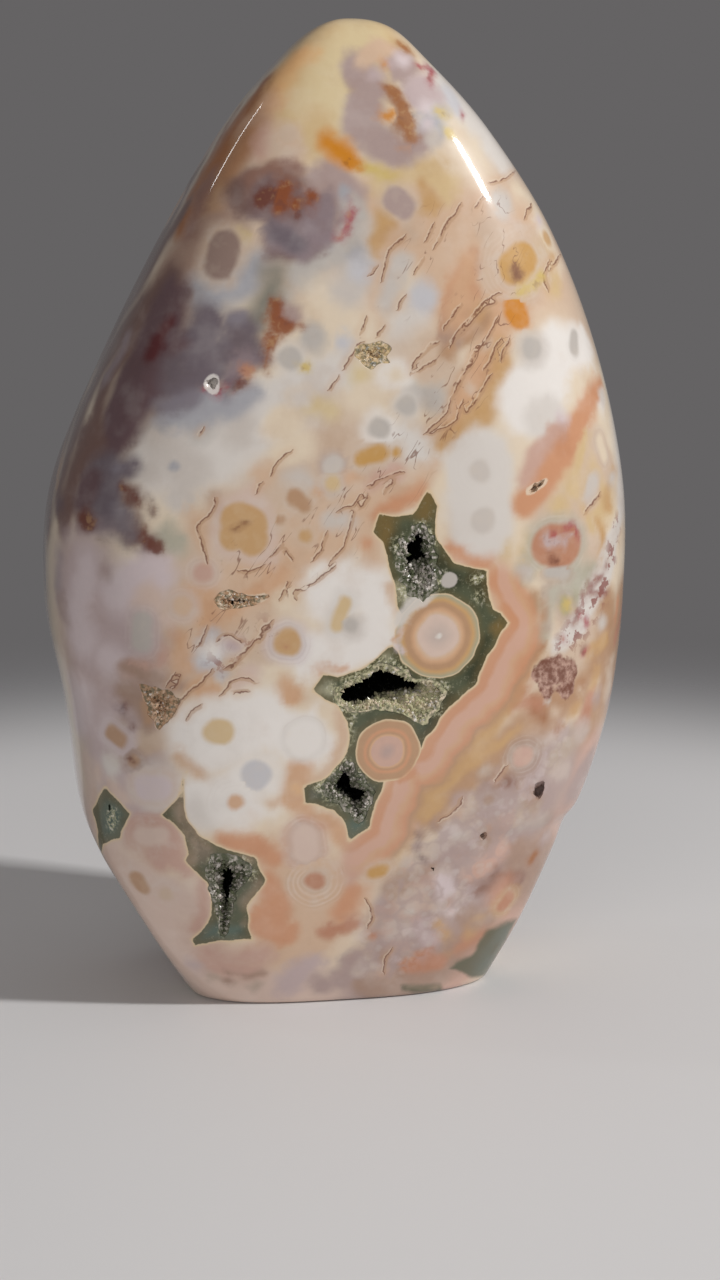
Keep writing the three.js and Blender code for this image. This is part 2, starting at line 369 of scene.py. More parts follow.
# %% [markdown]
# ## Hollows and pits
#
# The gaps that the spheres left open were cut through by the polishing wheel, so each hollow has a sharp
# irregular mouth in the glossy face and rough walls behind it. A bump map would stay flat against the light
# and close up from the side, so the hollows are cut out of the mesh. Each is a stack of rings: the mouth as
# it shows in the photograph, a throat further in, and a cave behind that. One boolean takes them all away at
# once.

# %% The hollows, with their mouths and throats in photo pixels and their depths in millimetres
def groups(text):
    """Groups of numbers that commas divide: "420 524, 412 530" gives two corners."""
    return [tuple(float(number) for number in group.split()) for group in text.split(",")]


# `room` is how much wider the throat is cut than it shows, because the crust takes that up. The last number
# is the depth at which a hollow's crust is painted black as shade, counted in throat depths.
HOLLOWS = {
    "upper_hollow": {
        "node": "crystals_upper_hollow",
        "mouth": groups("""
            420 524, 412 530, 409 537, 401 540, 398 548, 401 556, 398 564, 403 571, 401 578, 408 584,
            407 592, 415 596, 424 599, 431 594, 437 586, 434 577, 440 571, 434 564, 438 556, 432 549,
            434 540, 427 534, 426 527
        """),
        "throat": groups("""
            418 532, 412 540, 407 546, 409 553, 403 562, 406 566, 413 560, 421 558, 427 556, 421 548,
            421 538
        """),
        "throat_depth": 1.7, "depth": 6.2, "room": 0.5, "painted_shade_from": 1.2,
    },
    "centre_hollow": {
        "node": "crystals_centre_hollow",
        "mouth": groups("""
            334 690, 338 702, 350 711, 366 711, 381 707, 395 710, 408 716, 418 723, 424 724, 432 714,
            441 700, 447 689, 436 683, 424 679, 414 680, 407 673, 395 670, 380 664, 373 670, 358 678,
            345 685
        """),
        "throat": groups("""
            335 689, 339 695, 347 705, 353 702, 366 698, 376 694, 384 691, 393 690, 404 688, 411 691,
            415 687, 412 680, 405 674, 394 672, 379 665, 373 671, 358 679, 348 684
        """),
        "throat_depth": 2.4, "depth": 10.5, "room": 0.55, "painted_shade_from": 1.0,
    },
    "lower_hollow": {
        "node": "crystals_lower_hollow",
        "mouth": groups("""
            331 778, 338 771, 346 762, 352 764, 358 775, 366 783, 371 792, 368 806, 363 818, 356 824,
            350 814, 341 804, 329 797, 322 788
        """),
        "throat": groups("""
            340 775, 346 771, 351 777, 349 783, 357 787, 366 791, 363 796, 358 799, 359 810, 355 806,
            353 796, 342 792, 339 788, 331 787, 337 782
        """),
        "throat_depth": 1.8, "depth": 7.5, "room": 0.45, "painted_shade_from": 1.0,
    },
    "base_hollow": {
        "node": "crystals_base_hollow",
        "mouth": groups("""
            212 858, 226 856, 240 859, 250 868, 250 881, 240 886, 234 894, 233 906, 230 918, 228 934,
            219 934, 220 918, 216 902, 211 886, 206 872
        """),
        "throat": groups("221 868, 230 866, 236 872, 235 884, 231 898, 228 910, 223 900, 220 884"),
        "throat_depth": 1.9, "depth": 4.6, "room": 0.15, "painted_shade_from": 1.5,
    },
    "left_pocket": {
        "node": "crystals_left_pocket",
        "mouth": groups("140 686, 151 689, 163 691, 179 700, 174 710, 165 720, 159 730, 153 716, 147 702"),
        "throat": groups("153 695, 166 701, 164 709, 159 715, 156 705"),
        "throat_depth": 0.6, "depth": 1.1, "room": 0.0, "painted_shade_from": 2.6,
    },
    "long_pit": {
        "node": None,
        "mouth": groups("""
            217 600, 221 607, 230 608, 239 605, 252 603, 267 598, 266 594, 252 597, 240 596, 233 592,
            222 594
        """),
        "throat": groups("223 599, 228 605, 237 605, 248 603, 252 600, 243 597, 231 597"),
        "throat_depth": 0.8, "depth": 1.7, "room": 0.0, "painted_shade_from": 1.6,
    },
    "yellow_pocket": {
        "node": None,
        "mouth": groups("""
            357 350, 364 344, 371 348, 380 343, 389 349, 386 356, 389 363, 378 362, 371 367, 363 361
        """),
        "throat": groups("366 354, 374 350, 381 354, 379 360, 371 361"),
        "throat_depth": 0.5, "depth": 0.9, "room": 0.0, "painted_shade_from": 3.0,
    },
}
# Small open pits: the middle, half the width and half the height in photo pixels, the turn in radians, and
# the depth in millimetres.
PITS = {
    "round_pit": {"middle": (212, 384), "half": (6.5, 7.5), "turn": 0.0, "depth": 1.3},
    "slit": {"middle": (536, 487), "half": (12.5, 3.0), "turn": 0.62, "depth": 1.2},
    "right_pit": {"middle": (539, 790), "half": (5.5, 9.5), "turn": -0.35, "depth": 2.0},
    "low_right_pit": {"middle": (483, 835), "half": (2.4, 3.0), "turn": 0.0, "depth": 0.8},
    "low_pit": {"middle": (433, 869), "half": (2.2, 2.6), "turn": 0.0, "depth": 0.8},
    "edge_pit": {"middle": (110, 808), "half": (2.0, 3.0), "turn": 0.2, "depth": 0.8},
}
print("hollows:", len(HOLLOWS), "pits:", len(PITS))

# %% [markdown]
# A mouth is traced on the curved face, but rings are easiest to blend on a flat one. So each hollow gets a
# small flat drawing plane that touches the face at the mouth's middle. An outline becomes a distance for each
# angle round its own middle, and a ring further in is a blend of two such outlines.

# %% A drawing plane for each hollow
EDGE_STEPS = 10
PROBE_HEIGHT = 4.0


class DrawingPlane:
    """A flat plane that touches the stone behind a pixel, and outlines drawn on it."""

    def __init__(self, outline):
        points = np.array([photo_point(x, y)[0] for x, y in outline])
        middle = photo_pixels(points.mean(axis=0)[None])[0]
        self.middle, self.normal = photo_point(*middle)
        self.across = np.cross([0, 0, 1], self.normal)
        self.across /= np.linalg.norm(self.across)
        self.above = np.cross(self.normal, self.across)
        sight = photo_direction(*middle)
        self.lean = np.array([sight @ self.across, sight @ self.above]) / -(sight @ self.normal)

    def outline(self, pixels, angles):
        """A closed outline as a point on the plane for each angle round its own middle."""
        points = np.array([photo_point(x, y)[0] for x, y in pixels]) - self.middle
        flat = np.column_stack([points @ self.across, points @ self.above])
        steps = np.linspace(0, 1, EDGE_STEPS, endpoint=False)[:, None, None]
        flat = (flat * (1 - steps) + np.roll(flat, -1, axis=0) * steps).reshape(-1, 2)
        middle = (flat.min(axis=0) + flat.max(axis=0)) / 2
        spokes = flat - middle
        turn = np.arctan2(spokes[:, 1], spokes[:, 0])
        reach = np.interp(angles, turn, np.hypot(*spokes.T), period=2 * math.pi)
        return middle, reach

    def place(self, flat, height):
        """Points in space from points on the plane and heights above it."""
        return (
            self.middle
            + flat[:, :1] * self.across
            + flat[:, 1:] * self.above
            + np.asarray(height)[:, None] * self.normal
        )

    def face_height(self, flat):
        """How high the polished face stands above the plane at points on it."""
        start = self.place(flat, np.full(len(flat), PROBE_HEIGHT))
        heights = []
        for point in start:
            hit, _, _, distance = FACE_TREE.ray_cast(Vector(point), Vector(-self.normal))
            heights.append(PROBE_HEIGHT - distance if hit is not None else 0.0)
        return np.array(heights)


# %% Rings of a hollow
SPOKES = 72
# Depth as a share of the throat's, how far the outline has gone from mouth to throat, and its size.
FUNNEL = [(0.0, 0.0, 1.0), (0.12, 0.05, 1.0), (0.35, 0.3, 1.0), (0.65, 0.7, 1.0), (1.0, 1.0, 1.0)]
# The same beyond the throat: depth as a share of what is left, and size against the throat.
CAVE = [(0.15, 1.12), (0.4, 1.28), (0.7, 1.1), (0.9, 0.75), (1.0, 0.35)]
# How ragged the walls are: the size of the waves, their wavelength and their seed.
RAGGED = [(0.15, 1.5, 31), (0.09, 0.7, 41)]


def hollow_rings(hollow, plane, margin, spokes=SPOKES):
    """Rings of points from the mouth to the end of a hollow, grown outward by a margin.

    The throat is moved in along the line of sight, so that it shows where it does in the photograph.
    """
    angles = np.linspace(-math.pi, math.pi, spokes, endpoint=False)
    spoke = np.column_stack([np.cos(angles), np.sin(angles)])
    mouth_middle, mouth_reach = plane.outline(hollow["mouth"], angles)
    throat_middle, throat_reach = plane.outline(hollow["throat"], angles)
    throat_reach = throat_reach + hollow["room"]
    throat_depth = hollow["throat_depth"]
    rest = hollow["depth"] - throat_depth
    levels = [(share * throat_depth, blend, size) for share, blend, size in FUNNEL]
    levels += [(throat_depth + share * rest, 1.0, size) for share, size in CAVE]
    rings = []
    for depth, blend, size in levels:
        middle = mouth_middle * (1 - blend) + throat_middle * blend
        reach = (mouth_reach * (1 - blend) + throat_reach * blend) * size
        wall = plane.place(middle + spoke * reach[:, None], np.full(spokes, -depth))
        for amount, wavelength, seed in RAGGED:
            reach = reach + amount * slow_waves(wall, wavelength, seed)
        flat = middle + spoke * (reach + margin)[:, None] + plane.lean * min(depth, throat_depth)
        fade = max(0.0, 1 - depth / (throat_depth * 2))
        rings.append((flat, plane.face_height(flat) * fade - depth))
    return rings


# %% A cutter for each hollow and pit
PIT_SPOKES = 20
LEAD_OUT = 1.5
CUTTER_END = 0.3
CUTTER_MARGIN = 0.35
PIT_CORNERS = 14
PIT_UNEVEN = 0.12
PIT_BUMPS = 3
# The throat of a pit, as a share of its mouth's size and of its depth.
PIT_THROAT = 0.6


def cutter(rings, plane):
    """A closed solid from a hollow's rings, run out past the face."""
    flat, height = rings[0]
    stack = [plane.place(flat, height + LEAD_OUT)] + [plane.place(*ring) for ring in rings]
    end = stack[-1].mean(axis=0) - plane.normal * CUTTER_END
    points = np.vstack(stack + [stack[0].mean(axis=0), end])
    return points, closed_faces(len(stack), len(flat))[:, ::-1]


def pit_outline(pit):
    """A pit's mouth in photo pixels: an oval with a few uneven corners."""
    turns = np.linspace(0, 2 * math.pi, PIT_CORNERS, endpoint=False)
    uneven = 1 + PIT_UNEVEN * np.sin(PIT_BUMPS * turns + pit["middle"][0])
    across = pit["half"][0] * np.cos(turns) * uneven
    above = pit["half"][1] * np.sin(turns) * uneven
    cos, sin = math.cos(pit["turn"]), math.sin(pit["turn"])
    x = pit["middle"][0] + across * cos - above * sin
    y = pit["middle"][1] - across * sin - above * cos
    return list(zip(x, y))


planes = {}
cutters = []
for name, hollow in HOLLOWS.items():
    planes[name] = DrawingPlane(hollow["mouth"])
    cutters.append(cutter(hollow_rings(hollow, planes[name], CUTTER_MARGIN), planes[name]))
for name, pit in PITS.items():
    mouth = pit_outline(pit)
    middle = np.array(pit["middle"])
    throat = [tuple(middle + PIT_THROAT * (np.array(corner) - middle)) for corner in mouth]
    shape = {"mouth": mouth, "throat": throat, "depth": pit["depth"]}
    shape |= {"throat_depth": pit["depth"] * PIT_THROAT, "room": 0.0}
    planes[name] = DrawingPlane(mouth)
    cutters.append(cutter(hollow_rings(shape, planes[name], 0.0, PIT_SPOKES), planes[name]))
print("cutters:", len(cutters))


# %% Cut them all out of the stone
def join_data(parts):
    """Several sets of points and faces as one set."""
    starts = np.cumsum([0] + [len(points) for points, _ in parts])
    points = np.vstack([points for points, _ in parts])
    faces = np.vstack([faces + start for (_, faces), start in zip(parts, starts)])
    return points, faces


def cut_away(piece, tool):
    """Takes the tool's volume away from the piece, and keeps only the result."""
    change = piece.modifiers.new("cut", "BOOLEAN")
    change.operation = "DIFFERENCE"
    change.solver = "MANIFOLD"
    change.object = tool
    graph = bpy.context.evaluated_depsgraph_get()
    result = bpy.data.meshes.new_from_object(piece.evaluated_get(graph))
    piece.modifiers.remove(change)
    piece.data = result
    result.name = piece.name
    bpy.data.objects.remove(tool)


SHARP_ANGLE = math.radians(38)


def smooth_but_sharp(piece):
    """Smooth shading that keeps the hollows' rims sharp."""
    piece.data.shade_smooth()
    piece.data.set_sharp_from_angle(angle=SHARP_ANGLE)


cut_away(stone, add_mesh("cutter", *join_data(cutters)))
smooth_but_sharp(stone)
print("cut stone:", len(stone.data.vertices), "points,", len(stone.data.polygons), "faces")

# %% Ride on the body
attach(stone, "root")
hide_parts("stone")

# %% [markdown]
# ## Crystal crusts
#
# Each hollow is lined with druse, a crust of small quartz points that grew inward from the wall. Scattered
# instances would be lost when the piece is handed on, so every crystal is real mesh in one joined crust. The
# crust is a thin shell that follows the hollow's rings, with a lumpy inner side, and six-sided points stand
# all over that. Where a point would reach past the face it is pushed back to it, because the wheel that
# polished the stone ground those points off too.

# %% The lining of a hollow
CRUST_GAP = 0.05
CRUST_THICKNESS = 0.55
CRUST_RECESS = 0.06
CRUST_END = 0.25
LUMPS = 0.16
LUMP_WAVELENGTH = 1.5


def crust_shell(hollow, plane, seed):
    """A closed shell against the hollow's wall: its outer rings, a rim at the face, and its inner rings."""
    outer = [plane.place(*ring) for ring in hollow_rings(hollow, plane, CUTTER_MARGIN - CRUST_GAP)]
    inner = [plane.place(*ring) for ring in hollow_rings(hollow, plane, CUTTER_MARGIN - CRUST_THICKNESS)]
    outer_end = outer[-1].mean(axis=0) - plane.normal * CRUST_END
    inner_end = inner[-1].mean(axis=0)
    points = np.vstack(outer + inner + [outer_end, inner_end])
    count = len(outer)
    low = count * SPOKES
    lumps = slow_waves(points, LUMP_WAVELENGTH, seed) * LUMPS
    points[low:-2] += lumps[low:-2, None] * plane.normal
    outer_faces = np.vstack([
        ring_faces(count, SPOKES),
        end_fan(count - 1, SPOKES, len(points) - 2, facing_up=True),
    ])
    inner_faces = np.vstack([
        ring_faces(count, SPOKES, low),
        end_fan(2 * count - 1, SPOKES, len(points) - 1, facing_up=True),
    ])
    column = np.arange(SPOKES)
    after = (column + 1) % SPOKES
    rim = np.vstack([
        np.column_stack([column, after, low + after]),
        np.column_stack([column, low + after, low + column]),
    ])
    return points, np.vstack([outer_faces[:, ::-1], inner_faces, rim]), inner_faces


# %% One crystal
CRYSTAL_SIDES = 6
# How far a crystal reaches into the lining, and where its point begins, as shares of its length.
CRYSTAL_ROOT = 0.6
CRYSTAL_SHOULDER = 0.45


def crystal_template():
    """A six-sided prism of unit width and length that ends in a six-sided point."""
    turns = np.arange(CRYSTAL_SIDES) * 2 * math.pi / CRYSTAL_SIDES
    ring = np.column_stack([np.cos(turns) / 2, np.sin(turns) / 2, np.zeros(CRYSTAL_SIDES)])
    root = [0, 0, -CRYSTAL_ROOT]
    points = np.vstack([ring + root, ring + [0, 0, CRYSTAL_SHOULDER], root, [0, 0, 1.0]])
    return points, closed_faces(2, CRYSTAL_SIDES)


TEMPLATE_POINTS, TEMPLATE_FACES = crystal_template()
print("one crystal:", len(TEMPLATE_FACES), "triangles")

# %% A field of crystals
CRYSTAL_SPACING = 0.29
CRYSTAL_WIDTH = (0.2, 0.46)
CRYSTAL_WIDTH_SPREAD = (0.7, 1.2)
CRYSTAL_LENGTH = (0.5, 1.1)
CRYSTAL_STRETCH = 1.4
CRYSTAL_LEAN = 0.45


def seats(points, faces, random):
    """Random places on triangles, evenly by area, with the triangles' normals."""
    corner = points[faces]
    normal = np.cross(corner[:, 1] - corner[:, 0], corner[:, 2] - corner[:, 0])
    area = np.linalg.norm(normal, axis=1) / 2
    count = int(area.sum() / CRYSTAL_SPACING**2)
    chosen = random.choice(len(faces), count, p=area / area.sum())
    share = np.sort(random.random((count, 2)), axis=1)
    weights = np.column_stack([share[:, 0], share[:, 1] - share[:, 0], 1 - share[:, 1]])
    place = (corner[chosen] * weights[:, :, None]).sum(axis=1)
    return place, normal[chosen] / (2 * area[chosen, None])


def crystal_field(points, faces, seed):
    """Crystals all over a lining, leaning a little at random, and each crystal's own random tone."""
    random = np.random.default_rng(seed)
    place, normal = seats(points, faces, random)
    count = len(place)
    axis = normal + random.normal(scale=CRYSTAL_LEAN, size=(count, 3))
    axis /= np.linalg.norm(axis, axis=1)[:, None]
    side = np.cross(axis, random.normal(size=(count, 3)))
    side /= np.linalg.norm(side, axis=1)[:, None]
    other = np.cross(axis, side)
    width = random.uniform(*CRYSTAL_WIDTH, count) * random.uniform(*CRYSTAL_WIDTH_SPREAD, count)
    length = width * random.uniform(*CRYSTAL_LENGTH, count) * CRYSTAL_STRETCH
    local = TEMPLATE_POINTS[None]
    solid = (
        place[:, None]
        + local[..., :1] * (side * width[:, None])[:, None]
        + local[..., 1:2] * (other * width[:, None])[:, None]
        + local[..., 2:] * (axis * length[:, None])[:, None]
    )
    starts = np.arange(count)[:, None, None] * len(TEMPLATE_POINTS)
    all_faces = (TEMPLATE_FACES[None] + starts).reshape(-1, 3)
    tone = np.repeat(random.random(count), len(TEMPLATE_POINTS))
    return solid.reshape(-1, 3), all_faces, tone


# %% Grow a crust in each hollow
def ground_off(points, recess):
    """Pushes points that stand above the polished face back to just below it. Also gives their depths."""
    depths = np.zeros(len(points))
    for index, point in enumerate(points):
        near, normal, _, _ = FACE_TREE.find_nearest(Vector(point))
        height = (Vector(point) - near).dot(normal)
        if height > -recess:
            points[index] -= np.array(normal) * (height + recess)
            height = -recess
        depths[index] = -height
    return depths


def set_field(piece, name, values):
    """Stores one number for each point of a mesh, for the finish to read."""
    field = piece.data.attributes.new(name, "FLOAT", "POINT")
    field.data.foreach_set("value", np.asarray(values, dtype=np.float32))


def make_crust(name, hollow, seed):
    plane = planes[name]
    shell_points, shell_faces, inner_faces = crust_shell(hollow, plane, seed)
    crystal_points, crystal_faces, tones = crystal_field(shell_points, inner_faces, seed)
    points = np.vstack([shell_points, crystal_points])
    faces = np.vstack([shell_faces, crystal_faces + len(shell_points)])
    # Depths are counted so that 1 is where the crust is painted black as shade.
    depths = ground_off(points, CRUST_RECESS) / (hollow["throat_depth"] * hollow["painted_shade_from"])
    crust = add_mesh("druse_" + name, points, faces)
    set_field(crust, "depth", depths)
    shell_tones = np.random.default_rng(seed).random(len(shell_points))
    set_field(crust, "tone", np.concatenate([shell_tones, tones]))
    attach(crust, "root")
    if hollow["node"]:
        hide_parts(hollow["node"])
    return crust


crusts = {}
for seed, (name, hollow) in enumerate(HOLLOWS.items(), start=21):
    crusts[name] = make_crust(name, hollow, seed)
    print(crusts[name].name, len(crusts[name].data.polygons), "triangles")

# %% [markdown]
# ## Colours
#
# The markings of such a stone can't come from one noise: a person knows this stone by where its rings and
# clouds lie. An image would hold them, but it would be flat and would end at the picture's edge. Here each
# marking is set as a dab or a stroke, with its place read from the photograph and its size in
# millimetres, and measured as a distance in space. So a ring is a sphere cut by the face, as it is in the
# stone, and it goes on round the side.
#
# The palette comes first: the stone's own stains, named, as a paint maker would.

# %% The palette
PALETTE = {
    "white": (230, 223, 216),
    "milk": (214, 206, 198),
    "blue_white": (196, 193, 195),
    "ice": (166, 164, 168),
    "cream": (222, 204, 180),
    "ivory": (214, 193, 152),
    "sand": (204, 180, 158),
    "putty": (180, 160, 144),
    "peach": (208, 177, 150),
    "apricot": (206, 164, 130),
    "salmon": (202, 147, 112),
    "coral": (184, 130, 102),
    "russet": (158, 102, 60),
    "rose": (198, 161, 145),
    "pale_rose": (210, 186, 172),
    "blush": (208, 166, 144),
    "shell": (192, 174, 164),
    "lilac": (190, 170, 168),
    "pale_lilac": (210, 194, 194),
    "mauve": (172, 150, 144),
    "lavender": (142, 125, 128),
    "dusk": (126, 103, 101),
    "cocoa": (142, 106, 92),
    "taupe": (144, 120, 110),
    "clay": (170, 124, 90),
    "dove": (187, 179, 171),
    "mist": (200, 190, 181),
    "mint": (180, 174, 156),
    "slate": (112, 100, 106),
    "pewter": (132, 127, 115),
    "steel": (132, 124, 131),
    "plum": (104, 80, 83),
    "wine": (94, 44, 46),
    "brick": (110, 60, 46),
    "berry": (164, 74, 82),
    "speck": (140, 84, 76),
    "rust": (140, 74, 36),
    "bark": (122, 80, 62),
    "tan": (180, 142, 110),
    "umber": (118, 90, 82),
    "fawn": (166, 137, 120),
    "honey": (208, 180, 136),
    "maize": (224, 176, 122),
    "ochre": (196, 156, 108),
    "amber": (196, 150, 84),
    "orange": (204, 130, 34),
    "lemon": (206, 180, 108),
    "moss": (166, 160, 134),
    "sage": (164, 160, 134),
    "lichen": (182, 178, 142),
    "green": (84, 88, 66),
    "deep_green": (56, 60, 42),
    "sea_green": (86, 102, 90),
    "olive": (118, 98, 58),
    "dark_olive": (72, 68, 44),
    "bronze": (152, 134, 114),
    "rim": (218, 194, 158),
}
print("palette:", len(PALETTE), "stains")


def linear(name):
    """A palette colour as the light it sends back, which is what shaders mix."""
    value = np.array(PALETTE[name]) / 255
    return np.where(value <= 0.04045, value / 12.92, ((value + 0.055) / 1.055) ** 2.4)


# %% [markdown]
# ### Zones
#
# A zone is a soft cloud of one stain. Zones are laid over each other in order, like washes of paint. There
# are hundreds, so they are kept as short lines of text. Each line starts with the stain and its softness,
# which is the width of its edge in millimetres. After the colon come its dabs, as `x y radius`, with the
# place in photo pixels and the radius in millimetres. A comma joins one dab to the next into a stroke, and a
# bar ends a stroke.

# %% Read strokes and tables
def strokes(text):
    """Strokes that bars divide, each a list of dabs or corners."""
    return [groups(stroke) for stroke in text.split("|")]


def table(text):
    """A tuple for each line of text: its words and numbers, and then its strokes."""
    rows = []
    for line in text.strip().splitlines():
        head, marks = line.split(":")
        words = [float(word) if word[0].isdigit() else word for word in head.split()]
        rows.append((*words, strokes(marks)))
    return rows


print(table("rose 2.4: 262 142 2.4 | 288 158 1.6"))

# %% Zones of the upper third
TOP_ZONES = table("""
sand 4: 515 180 4, 560 260 4, 585 330 4
peach 6: 330 240 9, 450 260 9, 520 260 8
umber 3: 196 170 3, 140 282 4, 92 372 5, 60 452 5, 48 520 3
fawn 5: 215 190 5, 200 240 5, 170 290 4
honey 4: 350 40 7, 320 90 7, 300 125 5
ivory 3: 365 35 3, 338 70 3.4, 328 110 3.4
maize 2.4: 300 56 1.8, 282 76 2, 264 100 1.8
apricot 2.4: 264 104 1.8, 250 126 2
tan 2.4: 228 158 2.2, 206 200 2.4
rose 2.4: 262 142 2.4 | 288 158 1.6
sand 2.4: 286 146 2.2
honey 2: 316 124 2.2
russet 1.8: 266 80 1.2, 242 114 2, 222 148 2.2, 202 186 2.4, 184 222 2
fawn 1.8: 195 258 2.6 | 215 228 2, 240 228 1.2 | 174 266 1.6
umber 1.4: 186 206 1.2, 166 240 1.6, 148 272 1.8
ice 2.4: 206 292 2.6, 240 276 2.2, 262 262 1.4 | 330 250 1.2
dove 2.4: 300 272 2.4, 318 284 1.8 | 290 300 1.6
cream 3: 330 310 4, 345 345 4 | 400 290 3
mist 2.4: 330 380 2.5 | 372 232 1.6, 360 262 2.2, 346 290 2
milk 2.6: 440 80 2.6, 474 115 3.2, 500 155 2.8 | 408 320 2.2, 400 336 1.6
cream 2.2: 530 200 1.6, 556 262 1.6 | 520 190 1.6
blue_white 1.8: 450 100 1.8 | 424 297 2 | 362 268 1.6
ice 1.6: 430 128 2.2 | 352 250 1.4
honey 1.6: 378 186 1.5, 404 172 1.4, 436 172 2, 450 192 2
ochre 1.2: 386 218 1.6, 382 244 1.5 | 420 184 0.8, 428 204 1.3
peach 2: 470 215 3, 455 250 3, 440 300 2 | 395 240 1.4, 385 290 1.4
mist 1.6: 502 205 2 | 400 262 1.4, 386 300 1.2
sand 1.6: 412 232 1.2 | 490 230 2
honey 1.6: 540 250 1.6, 552 284 1.8
salmon 1.2: 468 268 1.3, 462 290 2.2, 455 312 1.3
coral 0.8: 452 292 0.5, 449 318 0.8, 444 336 0.5 | 476 252 0.4, 480 275 0.5
mauve 1.4: 358 66 2.2, 372 90 2 | 362 104 2.3, 362 128 2.6 | 400 66 2.4
mauve 1.4: 384 145 2.4, 402 152 2, 420 142 1.4 | 330 178 2.4, 350 200 2
lilac 1.2: 424 92 2.4 | 436 98 1.2 | 376 74 1 | 386 62 1
dove 1.4: 352 214 1.8, 346 240 1.8
dove 1.4: 314 258 1.8, 338 262 1
peach 1: 362 60 1.2, 378 46 1.5, 392 48 0.8
fawn 1: 398 128 1 | 396 100 1.2
dusk 1.2: 256 194 3, 290 204 3.6, 302 232 3.4, 286 240 2.8
cocoa 1.2: 238 198 1, 250 176 1, 272 168 1.2, 298 172 1.2
lavender 1.4: 322 206 1.8, 318 232 2 | 282 234 2, 302 248 1.8 | 336 214 0.9
slate 1.4: 276 230 1.2, 296 244 1.4
mauve 1: 318 182 1.6
ice 1: 345 196 0.9
pewter 2.6: 272 274 1.2, 268 300 1.9, 256 320 1.6
mauve 1.2: 290 316 1.6
orange 1.6: 326 138 0.9, 336 148 1.3, 350 158 1.3
lemon 1.2: 366 168 0.8, 384 174 0.9 | 238 228 0.5, 246 240 0.6
cocoa 2: 212 176 1.2, 200 200 1.6, 192 232 1.2
pale_lilac 1.4: 402 58 1 | 430 108 0.9 | 426 125 1
clay 1.8: 256 122 1.3, 240 146 1.5, 226 176 1.2
russet 1.2: 238 108 0.6, 222 136 0.8, 204 168 0.8, 190 196 0.8
umber 1.6: 236 190 1.3, 243 206 1.1
ice 1.6: 240 282 1.6 | 440 112 0.9
""")
print("upper third:", len(TOP_ZONES), "zones")

